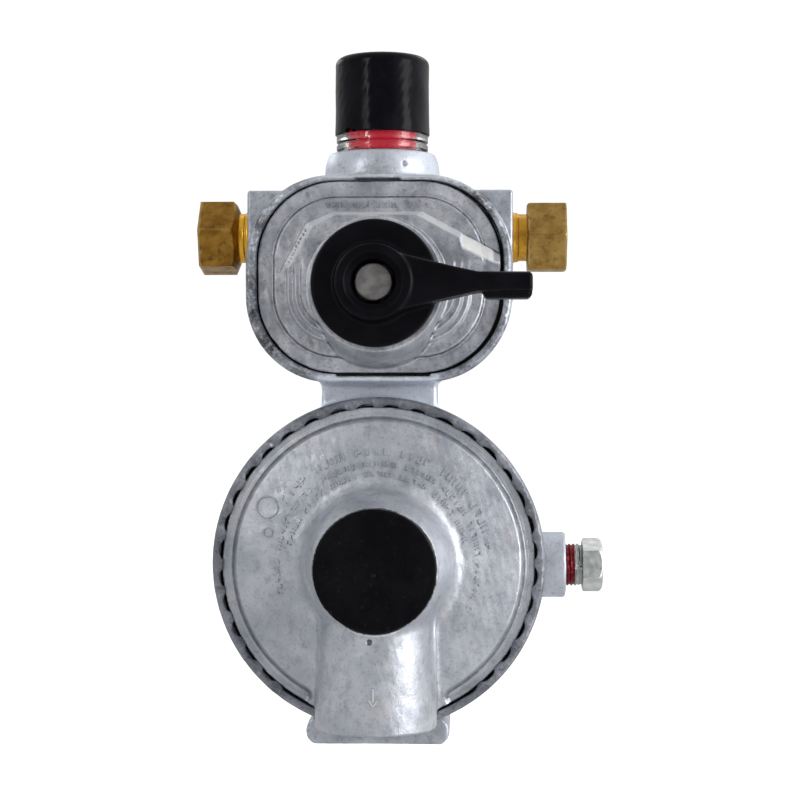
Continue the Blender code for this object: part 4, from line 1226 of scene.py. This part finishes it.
def vent_mesh():
    """The insect screen: crossed wires, cut to a round outline."""
    shape = bmesh.new()
    reach, pitch, wire = 6.7, 0.85, 0.13
    level = middle(span("vent_screen")[2])
    count = int(reach / pitch)
    for axis, across, lift in (("X", (1, 0), -0.06), ("Y", (0, 1), 0.06)):
        for i in range(-count, count + 1):
            offset = i * pitch
            spot = Vector((offset * across[0], offset * across[1] - VENT_FORWARD, level + lift))
            place = Matrix.Translation(spot) @ Matrix.Rotation(math.radians(90), 4, axis)
            deep = 2 * math.sqrt(reach**2 - offset**2)
            sizes = {"segments": 6, "radius1": wire, "radius2": wire, "depth": deep}
            bmesh.ops.create_cone(shape, cap_ends=True, matrix=place, **sizes)
    finished(from_bmesh("vent_wires", shape), STEEL, "zinc_steel", "vent_screen")


# ---- everything else from CAD

SPRINGS = (  # node, the body it rides on, the joint that squeezes it, and how far that travels
    ("first_stage_spring", "casting", "first_stage_travel", 1.2),
    ("main_spring", "casting", "second_stage_travel", 2),
    ("relief_spring", "relief_stem", "relief_lift", 1),
)


def springs():
    """Steel copies of the springs that a diaphragm plate pushes forward."""
    for name, body, joint, travel in SPRINGS:
        spring = frame["nodes"][name]
        wire = add(f"{name}_wire", spring.data.copy())
        wire.matrix_world = spring.matrix_world.copy()
        finished(wire, STEEL, "zinc_steel", name, body=body)
        low, high = span(name)[1]
        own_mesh(wire)


def dress_cad_nodes():
    """The inner pieces keep their CAD shape and get the material that their slot names."""
    looks = {"cast_aluminium": ALUMINIUM, "brass": BRASS, "zinc_steel": STEEL}
    looks |= {"black_plastic": BLACK, "natural_plastic": WHITE, "red_plastic": RED}
    looks |= {"green_plastic": GREEN, "clear_plastic": CLEAR, "black_rubber": RUBBER}
    for part in frame["record"]["subparts"]:
        inner = frame["nodes"][part["node"]]
        if not inner.hide_render:
            inner.data.materials.clear()
            inner.data.materials.append(looks[part["material_slot"]])


# ---- stage


def camera():
    """Level with the middle of the object, a little to its right."""
    data = bpy.data.cameras.new("camera")
    data.sensor_width = 36
    data.lens = 84.56
    data.shift_y = -0.0125
    obj = add("camera", data)
    target = Vector((4.74, -24, 40.1))
    distance, turn = 441, math.radians(2.1)
    place = target + distance * Vector((math.sin(turn), -math.cos(turn), 0))
    obj.location = place * MM
    obj.rotation_euler = (target - place).to_track_quat("-Z", "Y").to_euler()
    bpy.context.scene.camera = obj


def softbox(name, azimuth, elevation, width, height, power):
    """A large area light aimed at the middle of the object."""
    data = bpy.data.lights.new(name, "AREA")
    data.shape = "RECTANGLE"
    data.size, data.size_y = width * MM, height * MM
    data.energy = power
    obj = add(name, data)
    a, e = math.radians(azimuth), math.radians(elevation)
    way = Vector((math.sin(a) * math.cos(e), -math.cos(a) * math.cos(e), math.sin(e)))
    obj.location = (Vector((0, -24, 38)) + way * 520) * MM
    obj.rotation_euler = way.to_track_quat("Z", "Y").to_euler()


SEEN_WHITE = 1.05
WORLD_BASE = 0.28
WORLD_PARTS = (  # direction part, from, to, and how much light comes from that way
    ("X", -0.3, -0.95, 0.42),
    ("X", 0.3, 0.95, 1.1),
    ("Z", 0.3, 0.95, 0.3),
    ("Y", 0, 0.9, 0.25),
)
SOFTBOXES = (  # name, azimuth, elevation, width, height and power
    ("left_box", -38, 22, 45, 260, 0.37),
    ("right_box", 64, 4, 190, 420, 1.42),
    ("top_box", 175, 58, 420, 260, 0.1),
    ("back_left_box", -134, 27, 260, 130, 0.2),
    ("back_right_box", 150, 38, 120, 120, 0.07),
)


def surroundings():
    """White as the camera sees it, and as light brighter from some sides than from others."""
    world = bpy.data.worlds.new("studio")
    bpy.context.scene.world = world
    world.use_nodes = True
    tree = world.node_tree
    place = node(tree, "TexCoord").outputs["Generated"]
    parts = node(tree, "SeparateXYZ", place).outputs
    total = WORLD_BASE
    for letter, low, high, amount in WORLD_PARTS:
        ends = (parts[letter], low, high, 0, amount)
        shade = node(tree, "MapRange", *ends, interpolation_type="SMOOTHSTEP")
        total = node(tree, "Math", shade.outputs["Result"], total).outputs[0]
    seen = node(tree, "LightPath").outputs["Is Camera Ray"]
    strength = node(tree, "Mix", seen, None, total, SEEN_WHITE)
    background = tree.nodes["Background"]
    tree.links.new(strength.outputs["Result"], background.inputs["Strength"])
    background.inputs["Color"].default_value = (0.99, 0.995, 1, 1)


def floor():
    """A plain white floor, some way below the object, which hangs from its back mount."""
    shape = bmesh.new()
    bmesh.ops.create_circle(shape, cap_ends=True, segments=96, radius=6000)
    obj = from_bmesh("floor", shape)
    obj.location.z = (FOOT_BOTTOM - 70) * MM
    paint = Paint("floor_white", roughness=0.9, Emission_Color=(1, 1, 1, 1))
    seen = paint.node("LightPath").outputs["Is Camera Ray"]
    paint.tree.links.new(paint.times(seen, 0.8), paint.shader.inputs["Emission Strength"])
    paint.over(paint.noise(40, 2), (0.64, 0.64, 0.64), (0.6, 0.6, 0.6))
    obj.data.materials.append(paint.finish(None))


def stage():
    camera()
    surroundings()
    floor()
    for box in SOFTBOXES:
        softbox(*box)
    bpy.context.scene.view_settings.view_transform = "Standard"


stage()
casting()
rolled_rim()
cover()
bonnet()
bonnet_marks()
cover_marks()
selector()
inlets()
plug()
caps()
indicator()
vent_mesh()
springs()
dress_cad_nodes()
